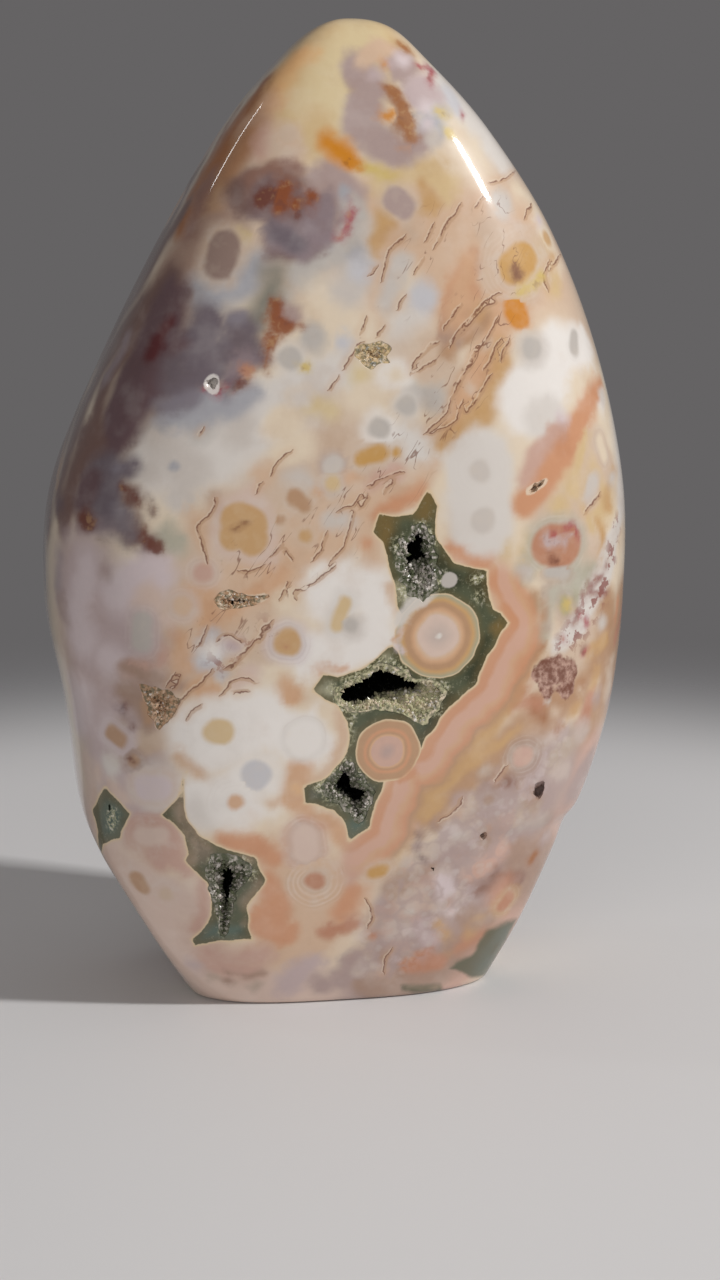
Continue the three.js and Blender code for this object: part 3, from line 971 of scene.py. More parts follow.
# %% Zones of the middle
MIDDLE_ZONES = table("""
milk 3: 600 350 4, 615 420 4, 622 500 3
tan 3: 622 600 3, 610 680 4, 590 740 4
sand 5: 170 640 7, 250 560 8, 330 480 8, 420 400 7
honey 4: 590 490 5
sand 3: 560 520 4, 586 570 4, 580 640 4, 560 690 4
tan 2: 608 600 2, 604 650 2, 584 690 2.4, 540 706 1.6
peach 3: 215 600 4, 280 570 4, 340 550 4, 370 500 2.4
tan 2.4: 470 400 3
milk 3: 160 460 4.5, 220 450 4, 300 400 3
cream 3: 370 390 3.6, 420 400 3 | 345 345 2.4
mist 1.8: 160 440 2.6, 190 470 2.6 | 240 430 2.2 | 150 470 1.6
dove 1.8: 200 425 1.8 | 432 398 1.9, 414 392 1.2
milk 2: 260 395 1.8, 330 370 2, 350 372 1.6 | 400 440 2.4, 430 455 2
white 1.8: 395 375 2.2 | 278 428 1.6
cream 1.6: 285 425 2.4 | 300 445 2, 278 458 1.4 | 300 400 1.6 | 360 330 2
sand 1.6: 222 500 1.8 | 350 560 1.2
mist 1.6: 180 500 1.8 | 300 482 1.4
ivory 1.6: 308 406 1.1, 330 408 1.1 | 362 372 1.3
ice 1.4: 165 418 1.6, 200 412 1.6, 232 408 1.4, 256 394 1
umber 2.4: 170 276 1.6, 138 312 2.6, 110 352 3, 86 400 3, 70 450 2.4, 58 500 2
plum 2: 170 296 2.4, 154 336 3.6, 140 380 3.8, 122 416 3.4, 106 448 2.4
umber 1.8: 142 316 1.2, 127 344 1.6, 112 372 1.7, 100 398 1.7, 94 428 1.6
umber 1.8: 94 428 1.4, 78 460 1.7, 70 494 1.8, 64 530 1.5
slate 1.8: 206 322 2.5, 196 350 3.2, 182 385 3 | 238 330 2.4
slate 1.8: 226 352 2, 250 352 2
steel 1.4: 160 404 1, 196 400 1.2, 222 396 1 | 236 316 1.2
lavender 1.4: 238 378 1.8 | 244 360 1.4 | 128 336 0.8, 108 376 1
slate 1.2: 210 372 2 | 232 388 1.1
plum 1.4: 178 345 1.4 | 134 370 2
umber 1.4: 84 428 1.6, 92 452 2.2, 84 470 1.4
wine 0.9: 166 320 0.7, 158 342 1.1, 150 358 0.9
plum 1.2: 122 312 0.5, 96 356 0.8, 84 386 1
tan 0.9: 66 440 0.4, 60 462 0.7, 58 484 0.5
putty 0.8: 62 424 0.3, 56 446 0.4
ice 1: 212 404 1 | 240 402 0.9
slate 1.8: 106 476 3, 100 510 3.2 | 124 468 1.8 | 120 520 2
plum 1.4: 92 480 1.6, 80 502 1.6 | 60 508 1.4
steel 1: 112 518 1.3 | 118 466 0.8
umber 1.2: 86 524 1.8 | 134 500 1.5 | 132 532 1.5 | 62 516 1
dusk 1.2: 150 542 1.4 | 64 532 1
slate 1.8: 98 518 1.6, 122 530 1.4
mint 1.6: 166 534 1.3, 176 546 1.3
mauve 1.4: 150 558 1.4 | 108 586 1.4
steel 2: 60 556 0.9, 60 584 1.3, 66 606 1 | 86 626 1
dove 1.2: 312 340 1.6
peach 1.6: 196 520 1.2, 206 545 1 | 262 476 1.4 | 300 560 1.6
pale_rose 1.6: 250 500 1.6 | 268 555 1.4
peach 1.4: 315 515 1.8 | 290 520 1.6
mist 1.4: 330 522 1 | 345 520 1.4
cream 1.4: 320 580 1.6 | 362 560 1.4
apricot 1.2: 286 566 0.8, 268 590 1.1, 232 612 1.1 | 318 492 0.8, 350 476 0.8
apricot 1.6: 505 300 1.6, 495 340 2, 480 380 2, 455 425 1.6
fawn 1.2: 462 320 1.6, 450 340 1.4
ochre 1.2: 480 316 1.4
tan 1.2: 488 318 0.9, 466 340 0.8 | 448 352 1.1 | 490 385 1.2, 512 376 1
ochre 1.4: 500 345 0.9, 502 380 1.7, 480 415 1.8, 452 430 1.2, 440 450 0.9
sand 1: 488 345 0.9 | 472 385 0.7 | 430 372 1.6 | 450 380 1 | 430 340 1
milk 1.8: 480 462 4.3, 480 530 4.1
white 1.8: 530 400 4.4, 560 350 3.4, 585 350 2.4 | 600 400 1.6
milk 1.4: 545 420 3
cream 1.2: 440 480 1.2
salmon 1.4: 600 382 1, 584 412 1.8, 566 445 2.3, 545 475 2.2, 526 506 1.7
rose 1.2: 562 425 0.9, 535 458 1.2, 522 480 0.8
peach 1.6: 432 470 0.8, 410 492 1.6, 388 504 1.3, 368 530 1.4, 372 565 1.6
salmon 1.2: 418 490 0.9, 398 500 1, 376 512 0.8 | 366 545 0.8
rose 1: 370 484 0.9, 398 472 1
salmon 1.2: 446 546 0.7, 462 556 1.1, 484 562 1.2 | 500 585 1.6
salmon 1.2: 508 600 1.6, 522 618 1.7
sand 1.6: 596 440 1.6, 610 470 2 | 588 452 0.8, 576 480 0.9
honey 1.6: 560 505 1.4
tan 1.4: 534 604 1.5
honey 1.6: 530 560 2 | 530 540 0.8 | 505 548 0.7, 504 558 0.7
mist 1.2: 596 478 0.9, 590 500 1
mint 1.4: 524 572 1.5 | 590 572 1.6, 566 586 1.8, 548 606 1.2, 540 640 1.2
ochre 1: 600 520 0.6, 604 545 0.8, 600 566 0.6 | 612 470 0.5, 606 506 0.6
honey 1: 588 438 0.7, 578 462 0.7, 572 490 0.7 | 584 506 0.5, 592 530 0.5
""")
print("middle:", len(MIDDLE_ZONES), "zones")

# %% Zones of the lower half
LOW_ZONES = table("""
pale_rose 4: 60 720 4, 100 850 5, 150 930 5, 220 990 5, 330 1000 5, 400 990 4
rose 3: 440 985 4, 500 940 3, 545 850 4, 590 760 4
lilac 5: 80 570 5, 100 640 7, 110 720 7, 130 790 6
pale_lilac 2.4: 150 575 3, 120 590 3 | 84 562 1.6, 80 640 2.4 | 110 655 2 | 78 690 2.4, 80 720 2
mauve 1.8: 62 600 1, 66 620 0.8 | 104 570 0.8 | 128 722 1
rose 1.8: 135 670 1.6 | 160 660 1.2
fawn 1.6: 128 668 1, 150 678 1.4, 176 684 1.4 | 128 692 1.6
pale_rose 1.4: 150 600 2 | 166 620 1 | 86 760 1, 92 800 1 | 96 772 1.2
sand 1.4: 150 740 2
apricot 1.6: 200 590 1.6, 210 620 1.6 | 180 638 1.2, 184 660 1.6
apricot 1.4: 196 690 1.6 | 214 690 1.2 | 205 672 1.2
pale_rose 1.2: 238 684 1 | 112 782 1, 126 800 1 | 250 672 1.4 | 186 716 0.9
fawn 1.2: 138 700 1.4, 148 722 1.3 | 118 734 1.7
tan 0.9: 143 704 0.7, 148 720 0.7
sand 1.2: 165 742 1.4 | 265 650 2
blue_white 1.2: 212 640 1.6, 206 660 1.6 | 222 672 0.9
white 2.4: 200 740 4, 260 720 4, 310 735 4 | 205 800 3.6, 250 796 4
milk 2.4: 155 785 2.6 | 205 812 2.4
white 2.2: 330 590 3.4, 370 590 3 | 310 655 3, 370 640 3.4 | 375 610 2.6
milk 1.4: 112 764 1.6 | 150 792 2.2
cream 1.4: 330 712 1.6, 344 735 1 | 268 800 1.4 | 286 600 1.6 | 300 700 1.6
cream 1.4: 260 828 1.4 | 184 760 1
peach 1: 340 715 0.7, 346 740 0.8, 334 768 1, 312 782 1 | 392 590 0.6, 396 610 0.6
apricot 1: 291 695 1.2 | 320 669 0.5, 342 667 0.5
peach 1: 182 758 1.1, 200 770 0.9 | 272 804 0.8 | 250 816 0.7
apricot 1.4: 300 768 1.5, 295 798 1.8, 310 815 1.4, 336 826 1.3, 350 848 1.2
peach 3: 280 870 5, 320 900 6, 290 940 5
pale_rose 3: 140 900 5, 180 940 4 | 112 855 2.4, 150 885 2.8, 192 905 2.6
rose 2.4: 215 965 2, 250 968 2 | 210 954 1.3, 262 956 1.6
rose 1.4: 130 826 1, 156 822 1.6, 175 850 1.8, 186 868 1.2 | 160 858 1.8
rose 1.2: 200 882 0.8, 207 905 0.8, 196 930 1
salmon 1.6: 222 840 1, 250 846 1.8, 272 858 1.6 | 270 880 1.2, 272 905 2, 270 925 2.6
salmon 1.4: 284 935 1.6
lilac 1.6: 160 955 1, 176 972 1.2 | 195 966 1 | 285 985 1.6, 310 965 1.8
putty 1.4: 212 978 0.8 | 252 986 0.8
fawn 0.9: 224 970 0.4, 246 976 0.5, 262 974 0.4 | 228 981 0.9
mauve 1.4: 320 985 1.6 | 340 978 1.8 | 380 980 1.4
salmon 2: 352 890 1.6, 342 910 1.6
rose 1.4: 360 860 1.8
rose 2: 520 640 2, 480 710 3, 430 770 3, 390 830 3, 350 870 2
tan 2: 555 712 2, 520 733 2.4, 475 768 2.4, 430 806 2.4
mauve 4: 550 770 5, 490 850 7, 430 920 7, 370 985 4
fawn 3: 530 870 5 | 400 890 3 | 480 925 3 | 380 990 2, 450 960 3
ochre 1: 512 700 0.8, 488 735 0.9, 462 765 0.9, 428 800 0.8
ochre 0.9: 520 728 0.5, 480 755 0.8, 455 775 0.7 | 440 800 0.7, 424 812 0.8
russet 1.2: 536 712 0.9 | 560 728 0.8
putty 1.4: 575 735 1.6, 556 760 1.6 | 528 808 1.8
tan 1.4: 600 660 1.6 | 525 655 1.4
sand 1.2: 596 684 1 | 612 660 1, 608 690 1
fawn 1.2: 532 800 1.5 | 516 786 1.2 | 500 775 1.6, 485 792 1.4 | 440 820 1.2
cocoa 1.2: 505 782 1.1 | 492 876 1.4 | 480 885 1.2, 514 880 1.6
mauve 1.4: 590 760 1.6, 572 795 1.8 | 460 800 1.2 | 466 890 0.9 | 418 846 1
fawn 1.4: 520 850 2 | 490 834 1.8 | 454 826 1.2 | 432 868 1.2
shell 1.4: 545 818 1.2, 520 824 0.8 | 478 868 1.5 | 412 862 0.8 | 420 890 1
shell 1.1: 455 832 1.8 | 442 874 1.6 | 450 902 2 | 408 906 2 | 398 930 1.9 | 440 846 1
mist 0.9: 452 904 1 | 408 908 1 | 458 834 0.8
fawn 1.2: 470 915 1.6 | 388 888 1.2 | 420 830 1 | 490 915 1.4
mauve 1.2: 545 842 1.2 | 380 905 1.4 | 460 852 1 | 350 960 1.6
lilac 1.2: 420 925 1.4 | 430 940 1.2
shell 1: 365 966 1.5 | 372 985 1
coral 1: 322 932 1, 340 928 1.1, 358 922 0.9 | 374 936 0.8
tan 1: 440 925 0.8 | 470 928 1, 464 944 1 | 450 950 1.1, 466 938 0.9
coral 1: 410 966 1.4, 428 960 1.8, 440 962 1.2
fawn 1.2: 360 986 1.2, 384 984 1.4 | 452 944 1.2
russet 0.9: 532 859 0.8
fawn 1.2: 400 988 1.4, 440 978 1 | 384 955 0.7
tan 1.2: 60 466 1.3
mist 1.2: 524 572 1.5 | 603 620 0.9 | 612 482 0.9
moss 1.2: 577 598 1.2
cream 1.4: 395 375 1.2
milk 1.4: 300 398 1.2
fawn 1.6: 214 498 0.8, 222 510 0.8
blue_white 1.6: 424 297 1.8 | 345 345 1.2
apricot 2: 470 262 1.4, 462 290 1.8, 458 318 1.6
milk 0.9: 622 500 0.8, 616 530 1.4, 606 566 1.9, 592 598 2, 574 630 1.7, 556 650 1
putty 1: 546 590 0.6, 548 630 0.6
ochre 1: 604 640 1.2, 590 650 0.8 | 598 668 1, 592 690 0.8 | 574 712 1
coral 1: 622 608 0.8, 616 636 0.9 | 590 700 1.2, 582 724 1.1
sand 1: 608 672 0.9 | 580 690 0.6 | 556 714 0.8
russet 0.9: 532 704 0.9 | 544 718 0.6
mist 0.6: 550 703 0.5
russet 0.9: 520 690 1.1, 528 665 0.9, 540 650 0.6
salmon 0.9: 618 600 0.6, 614 620 0.6
coral 2.2: 506 880 1, 498 896 1.6 | 484 934 1.2, 464 946 1.2
ochre 1.8: 478 918 0.6, 470 936 0.6 | 442 924 0.6, 446 936 0.5
pale_lilac 1.2: 444 880 1.2, 452 908 1
rose 1.6: 500 852 1.4, 476 872 1.2
white 1.4: 210 650 1.2
peach 1.4: 296 790 0.9
pale_rose 1.4: 300 830 1
coral 1.6: 529 650 1, 526 680 1.2, 512 706 1.2, 540 706 1
shell 1.6: 582 730 1.4 | 560 772 1.5
mist 1.4: 482 772 0.8
tan 1: 546 604 0.5, 544 618 0.6
mauve 1.6: 538 762 1.2 | 598 700 0.8 | 612 698 0.8
fawn 1.6: 474 925 0.9 | 450 902 0.8
mist 1.4: 432 140 1.2
ochre 1.6: 552 256 0.7
white 1.4: 582 332 1.2
pale_lilac 1.6: 540 222 0.9 | 562 418 0.8
pale_rose 1.4: 518 224 0.9
milk 1.4: 602 398 1.1
clay 1.4: 582 682 0.7 | 544 660 0.6
salmon 1.2: 322 670 0.2, 345 667 0.3
apricot 1.2: 281 684 0.9, 296 693 1.2
maize 1.4: 297 790 0.5
""")
print("lower half:", len(LOW_ZONES), "zones")

# %% [markdown]
# ### The back
#
# Only the front is in the photograph. The back is made up in the same manner: what reaches an edge on the
# front goes on behind it, and the rest is filled with the same stains. These dabs are `x height radius`, all
# in millimetres, because there is no picture to read them from. Between the broad grounds and the small
# stains lie clouds at random places. They are placed by an angle round the stone, from the right side at 0
# degrees over the back at 90 to the left side at 180, and they lean the same way as the bands of the front.

# %% Zones of the back
BACK_GROUNDS = table("""
peach 6: -30 50 12, 0 40 18, 30 50 12 | -12 90 12, 12 90 12 | -10 12 14, 12 12 14
honey 4: -2 117 6, -6 108 7, -10 100 6
apricot 3: -12 104 4, -20 90 4, -26 76 3
milk 5: 14 100 7, 24 80 8, 31 62 7 | -8 72 8, 4 64 8
white 3: 22 92 5 | 30 66 5 | -2 60 5, 8 56 5 | -18 24 6 | -8 88 4
""")
BACK_ZONES = table("""
plum 3: -30 78 4, -34 66 5, -35 55 4 | -27 62 4
slate 2.4: -24 70 4 | -31 50 3, -26 48 2 | -20 60 2.4
lavender 2.4: 4 96 5 | 10 102 3 | -16 78 3 | 16 34 4
pale_lilac 2.4: 10 90 4 | -32 36 6 | -28 22 5 | 24 30 5 | 12 26 4
rose 2.4: -20 40 3, -12 36 4, -4 38 3 | 30 42 4 | 0 8 5
salmon 2: 33 56 2.4, 28 48 2.4, 22 42 2 | -16 44 2, -2 48 2, 10 44 2 | -6 18 3
ochre 2: 20 66 2, 14 60 2, 6 72 2 | 32 34 2.4 | 14 12 3 | -14 62 2
blue_white 2: 18 74 3 | -22 32 3 | 2 80 3 | 6 22 2.4
coral 1.4: 24 20 2.4 | -12 10 2 | 20 54 1.6
cream 2.4: -10 54 3 | 12 50 3 | -24 14 3 | 26 12 4
moss 1.6: -14 94 2 | 4 32 2 | 30 24 1.6
""")
print("back:", len(BACK_GROUNDS) + len(BACK_ZONES), "zones")

# %% Clouds of the back and the sides
CLOUD_COUNT = 130
CLOUD_SIZES = (5.5, 1.2)
CLOUD_NAMES = {
    "left": ("plum", "slate", "lavender", "umber", "steel", "ice", "dusk", "dove"),
    "high": ("cream", "honey", "ivory", "pale_lilac", "lavender", "milk", "apricot", "ice"),
    "middle": (
        "white", "milk", "cream", "peach", "ochre", "blue_white", "salmon", "honey", "mist", "apricot",
    ),
    "low": ("pale_rose", "rose", "salmon", "pale_lilac", "mauve", "milk", "peach", "coral", "mist"),
}
# From which angle and between which heights the dark left side lies, and where the other parts start.
LEFT_FROM_ANGLE = 135
LEFT_HEIGHTS = (52, 88)
HIGH_FROM = 84
MIDDLE_FROM = 42
# Angles and heights that clouds lie between, heights that they stop at, and sizes as shares of the radius.
CLOUD_AREA = ((-6, 3), (186, 112))
CLOUD_LIMITS = (2, 116)
CLOUD_REACH = (0.4, 2.2)
CLOUD_THICKNESS = (0.35, 0.6)
CLOUD_SOFTNESS = (0.5, 1.0)


def cloud_part(angle, height):
    if angle > LEFT_FROM_ANGLE and LEFT_HEIGHTS[0] < height < LEFT_HEIGHTS[1]:
        return "left"
    return "high" if height > HIGH_FROM else "middle" if height > MIDDLE_FROM else "low"


def scattered_clouds(seed):
    """Zones at random places round the back and the sides, from broad ones to small ones on top."""
    random = np.random.default_rng(seed)
    zones = []
    for radius in np.linspace(*CLOUD_SIZES, CLOUD_COUNT):
        angle, height = random.uniform(*CLOUD_AREA)
        names = CLOUD_NAMES[cloud_part(angle, height)]
        reach = radius * random.uniform(*CLOUD_REACH)
        size = radius * random.uniform(*CLOUD_THICKNESS)
        start = (angle - reach, min(height + reach, CLOUD_LIMITS[1]), size)
        end = (angle + reach, max(height - reach, CLOUD_LIMITS[0]), size)
        name = names[random.integers(len(names))]
        zones.append((name, random.uniform(*CLOUD_SOFTNESS) * radius, [[start, end]]))
    return zones


# %% [markdown]
# ### Orbs
#
# An orb is a sphere of stain with a paler shell. Its line gives the stain of its core and of its shell, the
# shell's thickness in millimetres, how strongly its thin rings show, and the dabs of its core. Orbs are kept
# as distances, so that the finish can set its own soft edge and add the thin rings between the shells.

# %% Orbs of the front
ORBS = table("""
ochre pale_rose 1.1 0.1: 238 520 2.2, 250 524 2.2 | 234 536 1.8 | 252 540 1.9
honey white 3 0.1: 216 732 1.6, 222 732 1.6
ochre pale_lilac 1.1 0.8: 287 642 1.75
ochre sand 0.5 0: 305 536 0.9
tan sand 0.5 0: 281 520 0.6
tan sand 0.8 0.1: 294 497 1.1, 304 505 1
apricot white 2.6 0.3: 236 802 1.05
blue_white white 1.6 0: 256 775 1.9
white white 0.6 0.7: 304 739 2.3
tan pale_lilac 1.2 0.2: 112 733 1.1, 120 740 1
tan fawn 0.9 0.3: 133 761 0.9
tan pale_rose 1.4 0.1: 136 878 1, 142 887 1.1
sand pale_rose 1.4 0.1: 165 894 1
pale_rose rose 1.6 0.2: 142 836 1.2, 160 836 1.2
pale_rose rose 1.3 0.9: 304 838 1.6, 306 852 1.5
coral peach 2.4 0.9: 316 881 1.35
amber peach 0.8 0.3: 374 873 0.9, 382 870 0.9
coral ochre 0.8 0.5: 503 905 1, 508 898 1
dove lilac 0.9 0.4: 142 622 1.3, 142 643 1.3
peach pale_rose 1 0.4: 182 606 1.2
rose pale_rose 0.8 0.5: 203 573 1.2
honey milk 0.8 0.1: 345 602 0.9, 338 624 0.9
dove mist 0.9 0.2: 351 626 0.95
mist milk 2.6 0.1: 480 471 1.5
mist milk 2.4 0: 483 521 1.6
taupe sand 1 0: 224 246 2, 220 264 2
sand peach 0.5 0.1: 289 134 1.1
mauve sand 0.5 0.1: 396 200 1.7, 404 208 1.4
amber sand 2.6 0.3: 514 268 2.2, 524 258 2.1
orange apricot 0.5 0: 515 309 1.7, 519 318 1.5
ochre cream 0.4 0: 547 238 1
dove mist 1 0.1: 532 348 1.5
dove white 0.8 0.3: 574 336 0.9, 574 350 0.9
dove milk 0.6 0.1: 407 406 1.3
dove white 0.9 0.1: 379 428 1.4
mist mauve 0.3 0.3: 333 465 1.3
amber sand 0.6 0: 362 458 1, 380 453 1 | 396 452 0.7
honey mist 0.5 0.2: 333 484 1
ice mist 0.5 0: 174 466 0.7
dove milk 0.6 0.1: 290 358 1.5
coral mint 1 0.6: 551 545 2.7, 564 545 2.7
dove putty 0.8 0.3: 550 572 0.9, 564 572 0.9
moss putty 0.7 0.3: 564 600 0.7, 566 610 0.7
rose fawn 1.4 0.7: 523 757 1.4
lilac pale_lilac 0.6 0.6: 233 646 0.8
mist sand 0.4 0.3: 593 482 1, 590 498 1
cream sand 0.7 0.4: 600 440 0.8, 604 456 0.8
fawn mauve 0.6 0.3: 489 800 0.8
pale_lilac pale_rose 1 0.2: 146 788 1.7, 158 788 1.7
""")
print("front:", len(ORBS), "orbs")

# %% Orbs of the back and the sides
ORB_STAINS = [
    ("ochre", "white"), ("tan", "cream"), ("dove", "white"), ("apricot", "pale_rose"),
    ("mist", "milk"), ("rose", "pale_rose"), ("amber", "sand"), ("fawn", "mist"), ("coral", "peach"),
    ("lavender", "pale_lilac"),
]
BACK_ORB_COUNT = 72
# Angles in degrees and heights that orbs lie between. Heights and sizes are in millimetres.
BACK_ORB_AREA = ((10, 6), (170, 110))
BACK_ORB_RADII = (0.7, 1.0, 1.4, 1.9, 2.4)
BACK_ORB_GAP = 6.0
BACK_ORB_STRETCH = 1.6
BACK_ORB_TAPER = 0.9
BACK_ORB_SHELLS = (0.5, 2.4)
BACK_ORB_RINGS = (0.0, 0.3, 0.9)
MM_PER_DEGREE = 0.5


def scattered_orbs(seed):
    """Orbs at random places on the back, kept apart from each other."""
    random = np.random.default_rng(seed)
    orbs = []
    places = np.empty((0, 2))
    while len(orbs) < BACK_ORB_COUNT:
        place = random.uniform(*BACK_ORB_AREA)
        radius = random.choice(BACK_ORB_RADII)
        apart = np.linalg.norm((places - place) * (MM_PER_DEGREE, 1), axis=1)
        if np.any(apart < BACK_ORB_GAP):
            continue
        places = np.vstack([places, place])
        core_name, shell_name = ORB_STAINS[random.integers(len(ORB_STAINS))]
        stretch = random.uniform(-BACK_ORB_STRETCH, BACK_ORB_STRETCH, 2)
        stroke = [(*place, radius), (*(place + stretch), radius * BACK_ORB_TAPER)]
        thickness = random.uniform(*BACK_ORB_SHELLS)
        strength = random.choice(BACK_ORB_RINGS)
        orbs.append((core_name, shell_name, thickness, strength, [stroke]))
    return orbs


# %% [markdown]
# ### Stains, fibres and specks
#
# Iron also sits in the stone as ragged grains of rust, and as dendrites, thin dark growths along old cracks.
# Both are strokes again, with sharper and rougher edges.

# %% Ragged stains
STAINS = table("""
brick: 262 200 1, 272 194 1.2 | 298 213 0.35
rust: 280 204 0.9, 288 190 0.9 | 307 203 0.75 | 294 206 0.5
berry: 352 209 0.4, 346 220 0.45, 340 234 0.4
rust: 276 304 0.6, 275 318 0.9, 283 331 1.1, 299 330 0.4 | 272 340 0.9, 267 354 0.5, 265 370 0.15
russet: 390 90 0.8, 400 104 1.2, 404 122 1.4, 409 138 0.9
rust: 394 96 0.4, 398 106 0.5 | 410 106 0.4, 411 122 0.5
brick: 409 142 0.6 | 413 116 0.5 | 390 94 0.4
russet: 400 43 0.6, 408 50 0.6
berry: 418 66 0.3, 430 70 0.7, 428 81 0.4 | 461 113 0.35
orange: 352 160 0.9 | 383 61 0.5 | 384 116 0.6, 394 114 0.5 | 404 136 0.5, 408 144 0.5
lemon: 396 176 0.35 | 450 132 0.8 | 443 112 0.7
lemon: 520 294 0.5, 534 284 0.6, 543 274 0.4 | 306 366 0.5 | 565 605 0.5
brick: 84 512 0.8, 92 524 1 | 126 492 0.8, 137 506 0.6 | 141 530 0.7, 150 540 0.6, 160 545 0.9
umber: 147 498 0.3, 150 512 0.4 | 104 545 0.2
brick: 241 384 0.7 | 236 388 0.3
coral: 246 372 0.6 | 566 555 0.4
brick: 551 552 0.5
lilac: 548 539 0.5, 562 538 0.6, 571 533 0.3
speck: 605 562 0.3, 598 576 0.5, 592 590 0.5 | 584 598 0.4, 604 594 0.3
speck: 577 608 0.3, 574 620 0.35 | 562 640 0.35 | 584 648 0.3
berry: 215 397 0.35 | 227 388 0.3 | 204 391 0.2
berry: 556 534 0.4 | 568 528 0.4, 575 536 0.3 | 586 620 0.5 | 577 614 0.35 | 565 641 0.45 | 585 650 0.4
brick: 552 557 0.55 | 518 274 0.5 | 514 270 0.3
coral: 287 643 0.35
brick: 246 526 0.25 | 235 536 0.2 | 132 759 0.2 | 123 707 0.3 | 133 730 0.2
rose: 130 663 0.3, 146 668 0.35, 160 662 0.3, 168 640 0.3, 170 628 0.2
plum: 122 707 0.25 | 118 712 0.2 | 421 857 0.25 | 416 836 0.3, 419 846 0.3
""")
# The red-brown patch on the right, as one ragged shape filled with small dark grains.
RED_PATCH = strokes("""
544 672 1.3, 558 672 1.7, 572 668 1.1 | 569 676 1.1, 566 692 1.1 | 560 690 0.8 |
548 684 1.2, 550 692 1
""")
print("stains:", len(STAINS))

# %% Dendrites, as the corners that their curves go through
FIBRES = strokes("""
500 293, 480 307, 460 330, 450 347 | 494 303, 476 315, 462 333, 452 341 |
477 347, 467 367, 460 380, 453 397, 443 417, 425 433 | 463 403, 453 423, 433 433 |
497 318, 490 334, 478 352, 470 366 | 500 340, 492 356, 484 368 | 508 342, 502 360 |
490 375, 478 396, 468 410 | 460 305, 452 318, 444 328 | 437 342, 417 357, 410 373 | 434 361, 418 370 |
460 204, 446 226, 433 247 | 434 224, 426 240 | 422 258, 414 272 | 405 236, 390 250, 385 266, 381 280 |
370 275, 376 268 | 406 296, 396 308 | 366 318, 360 332 | 362 342, 354 352, 343 368 |
337 378, 330 388 | 384 328, 376 336 | 204 428, 199 434 | 290 452, 278 462, 270 474 |
402 472, 390 475, 380 481, 369 486 | 392 482, 384 492 | 360 496, 352 506 | 367 497, 361 506 |
348 506, 338 512 | 354 514, 348 532, 340 550, 330 562 | 327 533, 322 548, 312 560 |
216 500, 208 516, 196 526, 203 545, 206 562 | 282 543, 272 556 | 283 545, 292 560 | 287 583, 281 598 |
303 590, 292 591, 295 600 | 334 566, 320 578, 306 586 | 263 566, 250 570, 240 572 | 262 484, 256 492 |
218 640, 228 635, 240 641 | 244 650, 236 660, 226 668 | 272 621, 258 636, 246 652, 232 667 |
270 628, 256 642 | 212 670, 202 682, 188 692, 177 706, 172 716 | 229 685, 221 695 | 236 693, 248 693 |
201 705, 192 712, 189 718 | 256 682, 244 677, 230 681 | 208 628, 198 646 | 175 675, 168 685 |
180 677, 174 688 | 506 766, 496 780 | 549 262, 544 276, 547 290 | 560 256, 552 268 |
516 172, 502 179, 490 183 | 486 194, 476 205 | 531 204, 525 218 | 598 495, 592 503, 585 512 |
438 822, 452 812, 462 800 | 390 950, 384 960, 383 972 | 366 900, 372 912, 368 926
""")
# The same on the back, as `x height` in millimetres.
BACK_FIBRES = strokes("""
20 82, 14 76, 10 66, 2 58 | 24 76, 18 68, 13 60 | -4 84, -10 74, -18 66 | 16 50, 8 46, 2 38, -6 34 |
30 60, 24 54, 20 46 | -12 50, -18 44, -26 40 | 8 96, 4 88, -2 84
""")
# Where fine fibres crowd together, where red specks and lilac mottling lie, and where the bands run.
FIBRE_ZONE = strokes("""
190 650 2, 250 580 4, 330 530 4, 390 480 3, 450 390 4, 490 300 4, 500 220 3 | 400 300 2, 440 220 2
""")
SPECK_ZONE = strokes("""
616 530 1.2, 606 576 1.8, 592 604 1.9, 580 626 1.6, 564 650 1.2 | 216 665 0.8, 268 628 0.8
""")
MOTTLE_ZONE = strokes("560 740 2, 500 810 5, 440 880 6, 390 950 5")
BAND_ZONE = strokes("496 574 1.8, 518 618 3, 505 690 5, 450 760 6, 400 830 5, 360 860 2")
print("dendrites:", len(FIBRES), "in front,", len(BACK_FIBRES), "behind")

# %% [markdown]
# ### Green chalcedony
#
# The green filling is what was left between the spheres, so its outline is all hollow curves that meet in
# spikes. Curves like these are traced as closed outlines. Their distance is measured in the photograph's own
# plane and turned into millimetres, which keeps the spikes where they are.

# %% Outlines of the green filling, in photo pixels
GREEN_OUTLINES = strokes("""
430 489, 438 507, 435 522, 437 539, 446 553, 454 563, 466 567, 487 571, 486 584, 490 599, 494 610,
502 613, 508 624, 499 636, 488 653, 482 669, 477 682, 461 696, 457 700, 444 712, 435 726, 424 740,
420 750, 417 742, 410 728, 404 721, 389 719, 373 723, 361 734, 356 747, 358 763, 365 774, 376 780,
385 780, 384 782, 378 798, 373 809, 369 827, 349 841, 348 833, 344 819, 334 810, 321 805, 305 803,
306 787, 317 782, 330 775, 341 763, 348 750, 350 739, 348 723, 342 712, 337 704, 323 697, 312 691,
326 675, 337 676, 350 673, 365 668, 376 660, 390 645, 401 656, 408 665, 419 673, 435 677, 451 674,
463 667, 473 657, 478 645, 479 634, 476 620, 470 608, 460 599, 448 595, 436 594, 424 596, 413 602,
402 615, 398 606, 395 581, 388 564, 384 542, 374 532, 380 514, 398 518, 412 514
|
186 772, 183 787, 184 807, 188 822, 198 835, 215 845, 236 852, 254 857, 256 859, 265 879, 262 888,
252 898, 247 908, 248 928, 251 940, 231 940, 211 941, 194 945, 192 940, 203 931, 211 917, 213 898,
208 881, 197 871, 185 862, 189 854, 184 835, 175 822, 162 815, 179 798, 181 787
|
104 788, 117 800, 130 813, 120 830, 120 837, 111 839, 103 845, 100 856, 98 838, 94 809
""")
